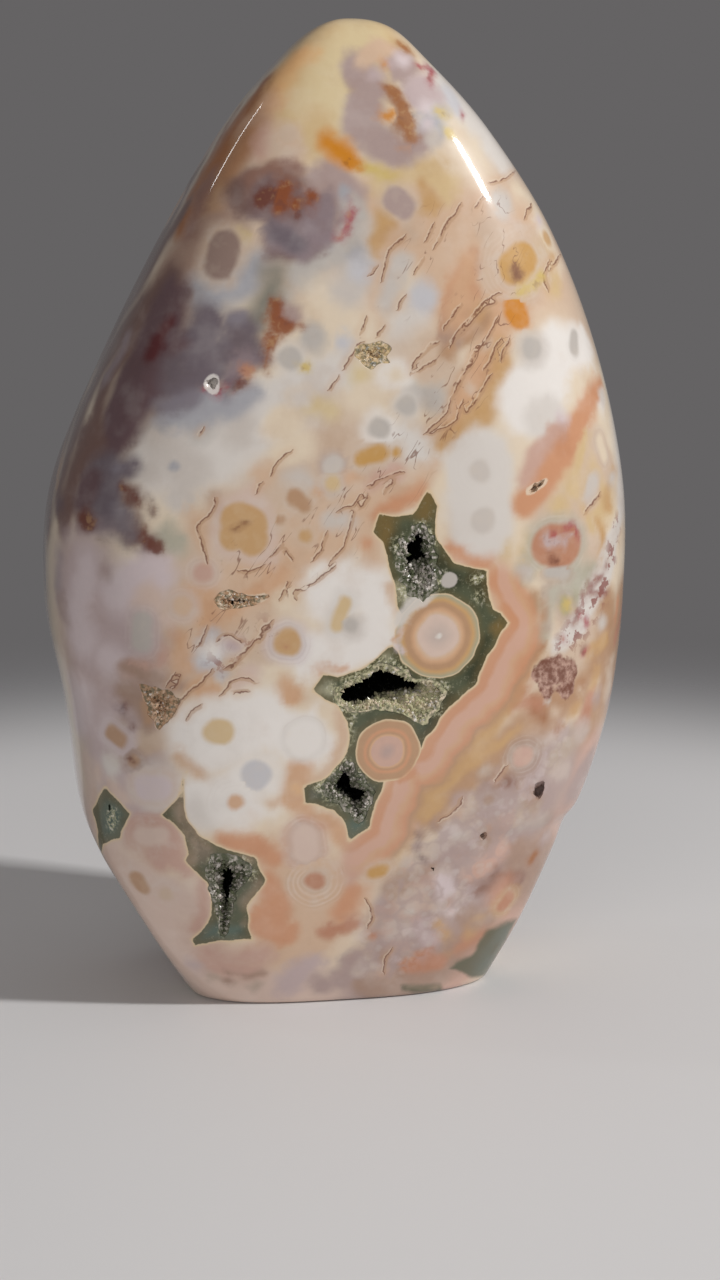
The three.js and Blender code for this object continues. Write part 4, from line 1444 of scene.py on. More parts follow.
# Two more low on the right have no rim and fade into the stone.
SOFT_GREEN_OUTLINES = strokes("""
517 918, 503 948, 489 976, 471 977, 463 973, 449 969, 456 961, 472 955, 479 944, 487 930
|
401 986, 420 984, 441 984, 441 992, 418 993, 401 991
""")
# How the green differs from place to place.
GREEN_TINTS = table("""
sea_green 2: 112 822 2
sea_green 2.4: 504 935 1.6, 485 962 1.6
green 1.6: 493 950 0.6
olive 1.4: 430 494 1.3, 426 512 1.2 | 384 522 1.2, 388 542 1.2 | 500 625 1.2
dark_olive 1.2: 474 576 1.4, 484 592 1.2 | 440 560 1 | 446 700 1.4, 430 716 1
dark_olive 1: 400 714 0.9 | 255 880 0.8
bronze 1.2: 412 984 0.6, 436 984 0.6
sage 1.2: 404 602 0.7, 398 588 0.6 | 322 690 0.9 | 386 658 0.7
bronze 1.4: 182 804 1.3, 190 832 1.4, 202 852 1.3 | 256 886 0.7, 247 905 0.8
bronze 1.2: 188 860 1 | 246 862 0.8
pewter 1.6: 365 790 0.2 | 318 794 0.3
bronze 1.2: 246 924 0.3
sea_green 1.2: 208 934 1.4, 236 934 1.4 | 350 832 1.2, 362 826 0.8
deep_green 1.2: 440 566 0.9, 456 584 0.9 | 393 552 0.8, 398 540 0.6
deep_green 1.2: 444 716 1, 428 738 0.8 | 488 640 0.8, 474 676 1
""")
# Where fine pale crystals show through the polish round the hollows, like sugar.
SUGAR = strokes("""
402 545 0.9, 404 562 0.8, 412 572 1.2, 428 572 1.2, 440 572 0.6 | 400 588 0.4, 404 602 0.5 |
412 590 0.9, 428 584 1.1, 440 582 0.9 | 425 528 0.7, 430 545 0.8 |
345 683 0.6, 365 674 0.6, 385 664 0.9, 402 668 0.6 |
328 690 0.6, 338 702 0.9, 350 712 1, 366 704 0.8 | 400 695 1, 425 688 1.2, 442 688 0.8 |
420 702 1, 434 706 0.8, 438 716 0.4 | 352 725 0.5, 353 745 0.4 |
325 785 0.8, 345 768 0.8, 360 780 0.8 | 335 795 0.9, 352 805 0.9, 364 805 0.8 |
214 862 0.6, 216 880 0.7, 220 900 0.6, 222 920 0.5, 221 934 0.5 |
225 860 0.5, 242 864 0.6, 249 876 0.6 | 476 578 0.8 | 478 598 0.6 | 110 820 1
""")
TARGET_ORB = {"middle": (438, 636), "radius": 5.2}
PINK_ORB = {"middle": (388, 751), "radius": 4.0}
# Stone that has grown over the larger one's left side, and where the smaller one joins the bands beside it.
VEILS = table("""
salmon: 420 757 0.4, 414 770 0.55, 402 781 0.4
milk: 401 618 0.75, 409 608 0.9, 420 600 0.7, 434 594 0.2
pale_lilac: 398 648 0.6, 404 654 0.3
pale_rose: 400 640 0.5, 403 628 0.5
apricot: 392 638 0.2, 402 632 0.3, 411 626 0.2
""")
PEARL = {"middle": (449, 580), "radius": 0.95}
print("green outlines:", len(GREEN_OUTLINES))

# %% [markdown]
# ### From strokes to numbers on the mesh
#
# Every marking is measured once at every mesh point and kept on the mesh as a named field. A soft cloud can
# be kept as a colour. A sharp edge can't, because the mesh is coarser than the eye, so it is kept as a
# distance, which changes evenly between two points and can be cut anywhere.


# %% Find places on the back and the sides
OUTSIDE = 60
NEAR_BACK = 8
HALF_WIDTH = 36
HALF_DEPTH = 20
OUTSIDE_TIMES = 3


def behind(x, height):
    """The point on the back of the stone at a place across and a height, in millimetres."""
    return on_stone((x, OUTSIDE, height), (0, -1, 0), (x, NEAR_BACK, height))


def around(angle, height):
    """The point on the stone at an angle round it in degrees and a height in millimetres."""
    turn = math.radians(angle)
    outward = Vector((HALF_WIDTH * math.cos(turn), HALF_DEPTH * math.sin(turn), 0))
    level = Vector((0, 0, height))
    return on_stone(outward * OUTSIDE_TIMES + level, -outward.normalized(), outward + level)


print("middle of the back:", np.round(behind(0, 60)[0], 2))


# %% Distances to strokes
def stroke_distance(points, stroke, find):
    """Distance from each point to a stroke's edge: below zero inside. A single dab is a sphere."""
    dabs = [(find(x, y)[0], radius) for x, y, radius in stroke]
    if len(dabs) == 1:
        dabs = dabs * 2
    nearest = np.full(len(points), np.inf)
    for (start, start_radius), (end, end_radius) in zip(dabs, dabs[1:]):
        line = end - start
        share = np.clip((points - start) @ line / max(line @ line, TINY), 0, 1)
        away = np.linalg.norm(points - start - share[:, None] * line, axis=1)
        nearest = np.minimum(nearest, away - start_radius - share * (end_radius - start_radius))
    return nearest


def strokes_distance(points, strokes, find=photo_point):
    return np.min([stroke_distance(points, stroke, find) for stroke in strokes], axis=0)


def soft_step(value, low, high):
    """Rises smoothly from 0 at low to 1 at high."""
    share = np.clip((value - low) / (high - low), 0, 1)
    return share * share * (3 - 2 * share)


def shaken(points, shakes):
    """Points moved a little by slow waves, which makes what is measured from them uneven."""
    for amount, wavelength, seed in shakes:
        moves = [slow_waves(points, wavelength, seed + axis) for axis in range(3)]
        points = points + amount * np.column_stack(moves)
    return points


count = len(stone.data.vertices)
PLACES = np.empty(count * 3, dtype=np.float32)
stone.data.vertices.foreach_get("co", PLACES)
PLACES = PLACES.reshape(-1, 3).astype(float) / MM
# Each shake is its size and wavelength in millimetres and its seed.
ROUGH = shaken(PLACES, [(0.35, 7.0, 50), (0.14, 2.4, 60)])
FRAYED = shaken(PLACES, [(0.45, 6.0, 80), (0.16, 2.2, 90)])
CLEAN = shaken(PLACES, [(0.1, 3.0, 70)])
print("points to mark:", count)


# %% Lay the zones over each other
# A zone's edge is this much wider than its softness says.
BLUR = 1.25


def set_colour(piece, name, values):
    """Stores one colour for each point of a mesh."""
    field = piece.data.attributes.new(name, "FLOAT_COLOR", "POINT")
    colours = np.column_stack([values, np.ones(len(values))])
    field.data.foreach_set("color", colours.astype(np.float32).ravel())


def lay_zones(points, base, layers):
    """Colours at points. Each layer is a list of zones and the way its places are found."""
    colours = np.tile(linear(base), (len(points), 1))
    for zones, find in layers:
        for name, softness, strokes in zones:
            distance = strokes_distance(points, strokes, find)
            edge = softness * BLUR / 2
            share = soft_step(distance, edge, -edge)[:, None]
            colours = colours * (1 - share) + linear(name) * share
    return colours


LAYERS = [
    (BACK_GROUNDS, behind),
    (scattered_clouds(seed=21), around),
    (BACK_ZONES, behind),
    (TOP_ZONES + MIDDLE_ZONES + LOW_ZONES, photo_point),
]
set_colour(stone, "ground", lay_zones(ROUGH, "cream", LAYERS))
set_colour(stone, "frayed_ground", lay_zones(FRAYED, "cream", LAYERS))
set_colour(stone, "green_tint", lay_zones(ROUGH, "green", [(GREEN_TINTS, photo_point)]))
print("zones:", sum(len(zones) for zones, _ in LAYERS))


# %% Choose the nearest orb at each point
FAR = 50.0


def measure_orbs(layers):
    """Distances to the core and the shell of the nearest orb, its two colours, and its rings' strength."""
    core = np.full(count, FAR)
    shell = np.full(count, FAR)
    rings = np.zeros(count)
    core_colour = np.tile(linear("ochre"), (count, 1))
    shell_colour = np.tile(linear("white"), (count, 1))
    for orbs, find in layers:
        for core_name, shell_name, thickness, strength, strokes in orbs:
            distance = strokes_distance(CLEAN, strokes, find)
            nearer = distance - thickness < shell
            core[nearer] = distance[nearer]
            shell[nearer] = distance[nearer] - thickness
            rings[nearer] = strength
            core_colour[nearer] = linear(core_name)
            shell_colour[nearer] = linear(shell_name)
    return core, shell, rings, core_colour, shell_colour


BACK_ORBS = scattered_orbs(seed=8)
core, shell, rings, core_colour, shell_colour = measure_orbs([(ORBS, photo_point), (BACK_ORBS, around)])
set_field(stone, "orb_core", core)
set_field(stone, "orb_shell", shell)
set_field(stone, "orb_rings", rings)
set_colour(stone, "orb_core_colour", core_colour)
set_colour(stone, "orb_shell_colour", shell_colour)
print("orbs:", len(ORBS) + len(BACK_ORBS))


# %% Stains and the zones of fine detail
ZONE_EDGE = 1.5


def measure_stains(stains):
    """Distance to the nearest of some stains at each point, and that one's colour."""
    nearest = np.full(count, FAR)
    colours = np.tile(linear("rust"), (count, 1))
    for name, strokes in stains:
        distance = strokes_distance(ROUGH, strokes)
        nearer = distance < nearest
        nearest[nearer] = distance[nearer]
        colours[nearer] = linear(name)
    return nearest, colours


stain, stain_colour = measure_stains(STAINS)
set_field(stone, "stain", stain)
set_colour(stone, "stain_colour", stain_colour)
set_field(stone, "patch", strokes_distance(ROUGH, RED_PATCH))
veil, veil_colour = measure_stains(VEILS)
set_field(stone, "veil", veil)
set_colour(stone, "veil_colour", veil_colour)
for name, marks in {
    "fibre_zone": FIBRE_ZONE,
    "speck_zone": SPECK_ZONE,
    "mottle_zone": MOTTLE_ZONE,
    "band_zone": BAND_ZONE,
}.items():
    set_field(stone, name, soft_step(strokes_distance(ROUGH, marks), ZONE_EDGE, -ZONE_EDGE))


# %% Dendrites as curves, with a left and a right side
PIXELS_PER_MM = 8.0
CURVE_STEPS = 6
FIBRE_REACH = 2.0
FRONT_PIXELS = photo_pixels(CLEAN)
# What is traced in the picture fades out behind this depth, by this much for each millimetre, and dendrites
# fade more slowly. What belongs to the back starts behind the last depth.
FRONT_END = -7.5
FRONT_FADE = 0.35
FIBRE_FADE = 1 / 3
BACK_START = 5.0
# The back's mesh is coarser, so a line there counts as near from further off.
BACK_FIBRE_SHARE = 0.35
PAST_FRONT = FRONT_FADE * np.clip(PLACES[:, 1] - FRONT_END, 0, None)
BEFORE_BACK = np.clip(BACK_START - PLACES[:, 1], 0, None)


def curved(corners):
    """A smooth curve through corners, as many short straight pieces."""
    line = np.array([corners[0], *corners, corners[-1]], dtype=float)
    share = np.linspace(0, 1, CURVE_STEPS, endpoint=False)[:, None]
    pieces = [curve_between(*four, share) for four in zip(line, line[1:], line[2:], line[3:])]
    return np.vstack(pieces + [line[-1:]])


def lines_measure(places, lines):
    """Distance from flat places to the nearest line, and the same with a sign for its side."""
    nearest = np.full(len(places), FIBRE_REACH)
    side = np.full(len(places), FIBRE_REACH)
    for line in lines:
        away_from_box = np.maximum(line.min(axis=0) - places, places - line.max(axis=0)).max(axis=1)
        close = np.flatnonzero(away_from_box < FIBRE_REACH)
        for start, end in zip(line, line[1:]):
            along = end - start
            offset = places[close] - start
            share = np.clip(offset @ along / (along @ along), 0, 1)
            distance = np.linalg.norm(offset - share[:, None] * along, axis=1)
            nearer = distance < nearest[close]
            turn = np.sign(along[0] * offset[:, 1] - along[1] * offset[:, 0])
            nearest[close[nearer]] = distance[nearer]
            side[close[nearer]] = (distance * turn)[nearer]
    return nearest, side


front_lines = [curved(line) / PIXELS_PER_MM for line in FIBRES]
back_lines = [curved(line) for line in BACK_FIBRES]
fibre, fibre_side = lines_measure(FRONT_PIXELS / PIXELS_PER_MM, front_lines)
back_fibre, back_side = lines_measure(CLEAN[:, [0, 2]], back_lines)
fibre = fibre + PAST_FRONT * FIBRE_FADE
back_fibre = back_fibre * BACK_FIBRE_SHARE + BEFORE_BACK
set_field(stone, "fibre", np.minimum(fibre, back_fibre))
set_field(stone, "fibre_side", np.where(PLACES[:, 1] < 0, fibre_side, back_side))
print("points near a dendrite:", int((fibre < FIBRE_REACH / 2).sum()))


# %% The green filling and the two orbs that it goes round
SUGAR_EDGE = (0.5, -0.4)


def outline_distance(pixels, outline):
    """Distance in pixels from each point to a closed outline, below zero inside it."""
    nearest = np.full(len(pixels), np.inf)
    inside = np.zeros(len(pixels), dtype=bool)
    corners = np.array(outline, dtype=float)
    for start, end in zip(corners, np.roll(corners, -1, axis=0)):
        line = end - start
        share = np.clip((pixels - start) @ line / (line @ line), 0, 1)
        nearest = np.minimum(nearest, np.linalg.norm(pixels - start - share[:, None] * line, axis=1))
        crosses = (start[1] > pixels[:, 1]) != (end[1] > pixels[:, 1])
        rise = line[1] or TINY
        left_of = pixels[:, 0] < start[0] + (pixels[:, 1] - start[1]) / rise * line[0]
        inside ^= crosses & left_of
    return np.where(inside, -nearest, nearest)


def outlines_distance(outlines):
    """Distance in millimetres to the nearest of some outlines on the front."""
    distance = np.min([outline_distance(FRONT_PIXELS, outline) for outline in outlines], axis=0)
    return distance / PIXELS_PER_MM + PAST_FRONT


def distance_from(middle):
    return np.linalg.norm(CLEAN - photo_point(*middle)[0], axis=1)


set_field(stone, "green", outlines_distance(GREEN_OUTLINES))
set_field(stone, "soft_green", outlines_distance(SOFT_GREEN_OUTLINES))
set_field(stone, "sugar", soft_step(strokes_distance(ROUGH, SUGAR), *SUGAR_EDGE))
set_field(stone, "white_rim", outlines_distance([pit_outline(PITS["round_pit"])]))
CREAM_RIMS = [pit_outline(PITS["slit"]), HOLLOWS["long_pit"]["mouth"], HOLLOWS["yellow_pocket"]["mouth"]]
set_field(stone, "cream_rim", outlines_distance(CREAM_RIMS))
set_field(stone, "target", distance_from(TARGET_ORB["middle"]) / TARGET_ORB["radius"])
set_field(stone, "pink", distance_from(PINK_ORB["middle"]) / PINK_ORB["radius"])
set_field(stone, "pearl", distance_from(PEARL["middle"]) - PEARL["radius"])
print("fields:", [field.name for field in stone.data.attributes if not field.name.startswith(".")])

# %% [markdown]
# ## Shader maths
#
# A finish is a graph of small nodes. Drawn by hand it would fill a wall, so it is written as sums instead.
# `Wire` holds one output of a node, and adding or multiplying wires adds the Math nodes. `Look` makes any
# other node from its type, its settings and what goes into its sockets.


# %% Wires
class Wire:
    """One output of a shader node, used like a number."""

    def __init__(self, look, socket):
        self.look = look
        self.socket = socket

    def math(self, operation, first, second):
        return self.look.node("ShaderNodeMath", {"operation": operation}, {0: first, 1: second})

    def __add__(self, other):
        return self.math("ADD", self, other)

    __radd__ = __add__

    def __sub__(self, other):
        return self.math("SUBTRACT", self, other)

    def __rsub__(self, other):
        return self.math("SUBTRACT", other, self)

    def __mul__(self, other):
        return self.math("MULTIPLY", self, other)

    __rmul__ = __mul__

    def __abs__(self):
        return self.math("ABSOLUTE", self, 0.0)


# %% Looks
class Look:
    """A material under construction."""

    def __init__(self, name):
        self.material = bpy.data.materials.new(name)
        self.material.use_nodes = True
        self.tree = self.material.node_tree
        self.tree.nodes.clear()

    def node(self, kind, settings, sockets, output=0):
        """Adds a node: its settings first, then the values or wires of its sockets. Gives one output."""
        node = self.tree.nodes.new(kind)
        for name, value in settings.items():
            if name == "stops":
                self.set_stops(node.color_ramp, value)
            else:
                setattr(node, name, value)
        for name, value in sockets.items():
            if isinstance(value, Wire):
                self.tree.links.new(value.socket, node.inputs[name])
            else:
                node.inputs[name].default_value = value
        return Wire(self, node.outputs[output])

    @staticmethod
    def set_stops(ramp, stops):
        while len(ramp.elements) < len(stops):
            ramp.elements.new(1.0)
        for element, (place, name) in zip(ramp.elements, stops):
            element.position = place
            element.color = (*linear(name), 1)

    def field(self, name):
        """A number kept on the mesh."""
        return self.node("ShaderNodeAttribute", {"attribute_name": name}, {}, "Fac")

    def colour_field(self, name):
        """A colour kept on the mesh."""
        return self.node("ShaderNodeAttribute", {"attribute_name": name}, {}, "Color")

    def place(self):
        return self.node("ShaderNodeTexCoord", {}, {}, "Object")

    def shaken_place(self, amount, wavelength):
        """Places moved about by noise, in millimetres, so that what is built on them is uneven."""
        sockets = {"Vector": self.place(), "Scale": 1 / (wavelength * MM), "Detail": 3.0}
        moves = self.node("ShaderNodeTexNoise", {}, sockets, "Color")
        moves = self.node("ShaderNodeVectorMath", {"operation": "SUBTRACT"}, {0: moves, 1: (0.5, 0.5, 0.5)})
        moves = self.node("ShaderNodeVectorMath", {"operation": "SCALE"}, {0: moves, 3: amount * MM})
        return self.node("ShaderNodeVectorMath", {"operation": "ADD"}, {0: self.place(), 1: moves})

    def noise(self, wavelength, detail=3.0, place=None, roughness=0.55):
        """Cloudy noise with blobs about one wavelength apart, in millimetres."""
        sockets = {"Vector": place or self.place(), "Scale": 1 / (wavelength * MM), "Detail": detail}
        sockets["Roughness"] = roughness
        return self.node("ShaderNodeTexNoise", {}, sockets, "Fac")

    def wander(self, amount, wavelength, detail=3.0):
        """Noise that goes below zero as often as above it, to make an edge uneven."""
        return (self.noise(wavelength, detail) - 0.5) * amount

    def cells(self, size, place):
        """Distance to the nearest of many scattered points, one for each cell of this size."""
        sockets = {"Vector": place, "Scale": 1 / (size * MM)}
        return self.node("ShaderNodeTexVoronoi", {"feature": "F1"}, sockets, "Distance")

    def step(self, value, low, high):
        """0 below low, 1 above high, and a smooth rise between. Low may be the higher one."""
        sockets = {"Value": value, "From Min": low, "From Max": high}
        return self.node("ShaderNodeMapRange", {"interpolation_type": "SMOOTHSTEP"}, sockets)

    def band(self, value, low, high, edge):
        """1 between low and high, with soft edges."""
        return self.step(value, low - edge, low + edge) * self.step(value, high + edge, high - edge)

    def mix(self, share, under, over, blend="MIX"):
        """Lays one colour over another. A name stands for a palette colour."""
        colours = [(*linear(c), 1) if isinstance(c, str) else c for c in (under, over)]
        sockets = {0: share, 6: colours[0], 7: colours[1]}
        settings = {"data_type": "RGBA", "blend_type": blend, "clamp_factor": True}
        return self.node("ShaderNodeMix", settings, sockets, 2)

    def wash(self, under, value, limits, strength, stain, blend="MIX"):
        """Lays a stain over a colour, from none at the first limit of a value to full at the second."""
        return self.mix(self.step(value, *limits) * strength, under, stain, blend)

    def ramp(self, value, stops):
        """A colour for each value from 0 to 1."""
        return self.node("ShaderNodeValToRGB", {"stops": stops}, {0: value})

    def finish(self, **sockets):
        """Ends the graph in a surface with these sockets, whose spaces are written as underscores."""
        named = {name.replace("_", " "): value for name, value in sockets.items()}
        self.end(self.node("ShaderNodeBsdfPrincipled", {}, named))
        return self.material

    def end(self, surface):
        output = self.tree.nodes.new("ShaderNodeOutputMaterial")
        self.tree.links.new(surface.socket, output.inputs["Surface"])


# %% [markdown]
# ## The polished jasper
#
# Polished chalcedony is a little cloudy inside and wet-looking outside. The clouds and rings are all colour,
# so they only feed the base colour. The polish is a clear coat that is the same all over. Each layer below
# takes the colour under it and lays one kind of marking over that, with noise along its edge, because no edge
# in the stone is as clean as a drawn circle.


# %% Clouds
def cloudy_ground(look):
    """The laid zones, frayed into each other, with small veils of white and warm stain in them."""
    frayed = look.step(look.noise(2.2), 0.30, 0.70)
    ground = look.mix(frayed, look.colour_field("ground"), look.colour_field("frayed_ground"))
    ground = look.wash(ground, look.noise(5.0), (0.48, 0.74), 0.10, "white", "SCREEN")
    ground = look.wash(ground, look.noise(6.5, 4.0), (0.48, 0.72), 0.22, "peach", "MULTIPLY")
    return look.wash(ground, look.noise(0.8), (0.35, 0.70), 0.08, "white", "SOFT_LIGHT")


def mottling(look, colour):
    """Small pale cells with darker seams, and ochre flecks, where the stone is most broken up."""
    zone = look.field("mottle_zone")
    cell = look.cells(1.7, look.shaken_place(1.3, 1.6))
    fleck = look.noise(3.0, 4.0)
    colour = look.wash(colour, fleck, (0.52, 0.66), zone * 0.3, "pale_lilac")
    colour = look.wash(colour, fleck, (0.48, 0.34), zone * 0.3, "rose")
    colour = look.wash(colour, look.noise(3.8, 4.0), (0.54, 0.70), zone * 0.35, "sand")
    colour = look.wash(colour, cell, (0.40, 0.15), zone * 0.25, "mist")
    return look.wash(colour, cell, (0.48, 0.78), zone * 0.55, "mauve")


# %% Bands round the green filling
BAND_WIDTH_MM = 6.5
BANDS = [
    (0.0, "rim"), (0.05, "salmon"), (0.18, "salmon"), (0.26, "blush"), (0.40, "blush"), (0.50, "apricot"),
    (0.64, "salmon"), (0.74, "tan"), (0.88, "ochre"), (1.0, "sand"),
]


def banding(look, colour):
    """Shells of salmon and rose that follow the green filling's edge."""
    edge = look.field("green")
    distance = edge + look.wander(2.2, 3.2) * look.step(edge, 0.3, 3.0)
    bands = look.ramp(distance * (1 / BAND_WIDTH_MM), BANDS)
    limits = (BAND_WIDTH_MM, BAND_WIDTH_MM * 0.7)
    return look.wash(colour, distance, limits, look.field("band_zone") * 0.85, bands)


# %% Orbs
RING_SPACING_MM = 0.62


def orb_layer(look, colour):
    """Pale shells and stained cores, with thin rings between them."""
    wander = look.wander(0.35, 1.8)
    core = look.field("orb_core") + wander
    shell = look.field("orb_shell") + wander * 3
    rings = look.field("orb_rings")
    cloud = look.noise(1.6, 2.0)
    shell_colour = look.wash(look.colour_field("orb_shell_colour"), cloud, (0.4, 0.7), 0.3, "milk")
    core_colour = look.wash(look.colour_field("orb_core_colour"), cloud, (0.4, 0.7), 0.1, "cream")
    colour = look.wash(colour, shell, (0.9, -0.9), 0.7, shell_colour)
    colour = look.wash(colour, core, (1.0, 0.1), rings * 0.25, "dove")
    colour = look.wash(colour, core, (0.40, -0.50), 0.95, core_colour)
    wave = look.node("ShaderNodeMath", {"operation": "SINE"}, {0: core * (2 * math.pi / RING_SPACING_MM)})
    near = look.step(shell, 0.3, -0.2) * rings * look.step(look.noise(4.0, 2.0), 0.38, 0.6)
    near = near * look.step(core, 0.0, 0.4)
    colour = look.wash(colour, wave, (0.0, 1.0), near * 0.16, "white")
    return look.wash(colour, wave, (0.0, -1.0), near * 0.12, "fawn")


# %% Stains, fibres and specks
FIBRE_RISE = math.radians(55)
FIBRE_STRETCH = (4.5, 1.0, 0.8)


def stains(look, colour):
    """Mottled grains of rust that fade out at ragged edges."""
    edge = look.field("stain") + look.wander(1.6, 1.4)
    tint = look.colour_field("stain_colour")
    grain = look.noise(1.3, 2.5)
    body = look.wash(tint, grain, (0.52, 0.70), 0.45, "ochre")
    body = look.wash(body, grain, (0.46, 0.30), 0.5, "brick")
    colour = look.wash(colour, edge, (1.0, -0.2), 0.35, tint)
    return look.wash(colour, edge, (0.40, -0.55), 0.85, body)


def fibres(look, colour):
    """Dendrites: traced dark lines with a pale side, and many fine ones that rise to the right."""
    along = look.node(
        "ShaderNodeMapping",
        {"vector_type": "TEXTURE"},
        {"Vector": look.place(), "Rotation": (0, -FIBRE_RISE, 0), "Scale": FIBRE_STRETCH},
    )
    thread = abs(look.noise(2.0, 2.0, along, 0.5) - 0.5)
    fine = look.step(look.noise(2.6), 0.47, 0.58) * look.field("fibre_zone")
    traced = look.field("fibre")
    near = look.step(traced, 0.55, 0.35)
    unbroken = look.step(look.noise(1.3), 0.34, 0.46)
    side = look.field("fibre_side") + look.wander(0.7, 0.9, 4.0)
    colour = look.wash(colour, traced, (1.2, 0.2), 0.22, "apricot")
    colour = look.mix(look.band(side, 0.12, 0.28, 0.06) * near * 0.4, colour, "cream")
    colour = look.mix(look.band(side, -0.40, -0.02, 0.10) * near * 0.5, colour, "tan")
    colour = look.wash(colour, thread, (0.013, 0.003), fine * 0.7, "bark")
    return look.wash(colour, abs(side), (0.15, 0.02), near * unbroken * 0.85, "bark")


def specks(look, colour):
    """Red grains scattered in a few zones, and the red-brown patch with its small dark grains."""
    grains = look.noise(1.5, 4.0, roughness=0.6)
    colour = look.wash(colour, grains, (0.52, 0.58), look.field("speck_zone") * 0.85, "speck")
    patch = look.field("patch") + look.wander(1.2, 1.0, 4.0)
    inside = look.mix(look.step(look.noise(0.8, 4.0), 0.36, 0.78), "brick", "rose")
    return look.wash(colour, patch, (0.25, -0.2), 0.9, inside)


# %% The green filling
def green_layer(look, colour):
    """Dark green chalcedony with a thin cream rim, and grainy where crystals show through."""
    jag = look.wander(0.24, 0.7)
    edge = look.field("green") + jag
    sugar = look.field("sugar")
    grain = look.noise(0.42, 4.0, roughness=0.65)
    tint = look.colour_field("green_tint")
    green = look.wash(tint, look.noise(2.0, 4.0), (0.45, 0.68), 0.4, "deep_green")
    green = look.wash(green, edge, (-1.1, -0.15), 0.3, "olive")
    green = look.wash(green, grain, (0.56, 0.70), 0.3, "sage")
    green = look.wash(green, grain, (0.45, 0.56), sugar * 0.85, "lichen")
    green = look.wash(green, grain, (0.57, 0.66), sugar * 0.8, "white")
    green = look.wash(green, grain, (0.44, 0.34), sugar * 0.6, "deep_green")
    colour = look.wash(colour, look.field("soft_green") + jag, (0.35, -0.35), 0.9, tint)
    colour = look.wash(colour, edge, (0.55, 0.08), 0.35, "rim")
    colour = look.wash(colour, edge, (0.26, 0.10), 0.8, "rim")
    return look.mix(look.step(edge, 0.06, -0.06), colour, green)


def pit_rims(look, colour):
    """A pale crystalline line round the pits' mouths."""
    jag = look.wander(0.3, 0.6)
    colour = look.wash(colour, look.field("white_rim") + jag, (0.45, 0.15), 0.8, "white")
    return look.wash(colour, look.field("cream_rim") + jag, (0.30, 0.05), 0.8, "cream")


# %% The two orbs that the green filling goes round
TARGET_RINGS = [
    (0.0, "white"), (0.05, "milk"), (0.10, "shell"), (0.40, "pale_rose"), (0.46, "pale_rose"),
    (0.51, "peach"), (0.58, "apricot"), (0.68, "tan"), (0.75, "tan"), (0.84, "ochre"), (0.96, "moss"),
    (1.0, "rim"),
]
PINK_RINGS = [
    (0.0, "mauve"), (0.30, "rose"), (0.46, "rose"), (0.51, "apricot"), (0.58, "tan"), (0.68, "salmon"),
    (0.78, "tan"), (0.93, "tan"), (1.0, "rim"),
]


def ringed_orb(look, colour, name, rings):
    """Concentric rings from the middle of an orb to its rim."""
    share = look.field(name) + look.wander(0.05, 1.4)
    cloud = look.mix(look.noise(1.0, 4.0) * 0.4, look.ramp(share, rings), "white", "SOFT_LIGHT")
    return look.mix(look.step(share, 1.02, 0.99), colour, cloud)


def veils(look, colour):
    """Stone over the larger orb's left side and over the smaller one's lower right."""
    edge = look.field("veil") + look.wander(0.8, 1.2)
    return look.wash(colour, edge, (0.35, -0.35), 0.85, look.colour_field("veil_colour"))


# %% The finished jasper
def jasper():
    look = Look("polished_ocean_jasper")
    colour = cloudy_ground(look)
    for layer in (mottling, banding, orb_layer, specks, fibres, stains, green_layer):
        colour = layer(look, colour)
    colour = ringed_orb(look, colour, "target", TARGET_RINGS)
    colour = ringed_orb(look, colour, "pink", PINK_RINGS)
    colour = veils(look, colour)
    colour = look.mix(look.step(look.field("pearl"), 0.15, -0.10), colour, "dove")
    colour = pit_rims(look, colour)
    swell = look.noise(9.0, 2.0)
    normal = look.node("ShaderNodeBump", {}, {"Strength": 0.05, "Distance": 0.0004, "Height": swell})
    return look.finish(
        Base_Color=colour,
        Roughness=0.35,
        Normal=normal,
        IOR=1.54,
        Specular_IOR_Level=0.1,
        Coat_Weight=1.0,
        Coat_Roughness=0.055,
        Coat_IOR=1.54,
    )


stone.data.materials.clear()
stone.data.materials.append(jasper())
print("jasper nodes:", len(stone.data.materials[0].node_tree.nodes))

# %% [markdown]
# ## The druse
#
# The crystals are clear quartz over green and brown clay, so the crust looks grey-green where light gets in
# and nearly black at the back. That darkness is painted shade: the crust's colour turns deep green and then
# black with depth, over the real shade of the cut hollow. Real clear crystals would cost a lot of light
# bounces for points half a millimetre wide. Flat shading with a smooth surface gives the same small flashes,
# and the crystals' own random tone makes neighbours differ.


# %% The druse's finish
# The stains of each crust: its pale crystals and the ground between them.
DRUSE_TINTS = {
    "upper_hollow": ("mist", "green"),
    "centre_hollow": ("cream", "lichen"),
    "lower_hollow": ("mist", "green"),
    "base_hollow": ("mist", "green"),
    "left_pocket": ("peach", "tan"),
    "long_pit": ("cream", "tan"),
    "yellow_pocket": ("cream", "honey"),
}
# Painted shade: the black that each crust is painted deep in its hollow.
PAINTED_SHADE_BLACK = (0.004, 0.004, 0.003, 1)


def druse():
    """Sugary at the face, greener in patches, and painted shade inside: black beyond the throat, where the
    depth is 1.
    """
    look = Look("quartz_druse")
    depth = look.field("depth")
    tone = look.field("tone")
    pale = look.colour_field("pale_tint")
    ground = look.colour_field("ground_tint")
    sugar = look.mix(look.step(tone, 0.25, 0.85), ground, pale)
    sugar = look.wash(sugar, look.noise(1.3, 4.0), (0.42, 0.60), 0.6, ground)
    sugar = look.wash(sugar, tone, (0.88, 0.93), 0.8, "white")
    patches = look.step(look.noise(0.42, 4.0), 0.42, 0.60)
    sugar = look.wash(sugar, depth, (0.30, 0.02), patches * 0.7, "green")
    # Painted shade: darker green deeper in, then black past the throat.
    colour = look.wash(sugar, depth, (0.45, 0.90), 0.5, "deep_green")
    colour = look.mix(look.step(depth, 0.75, 1.10), colour, PAINTED_SHADE_BLACK)
    return look.finish(Base_Color=colour, Roughness=0.16, IOR=1.54, Specular_IOR_Level=0.35)


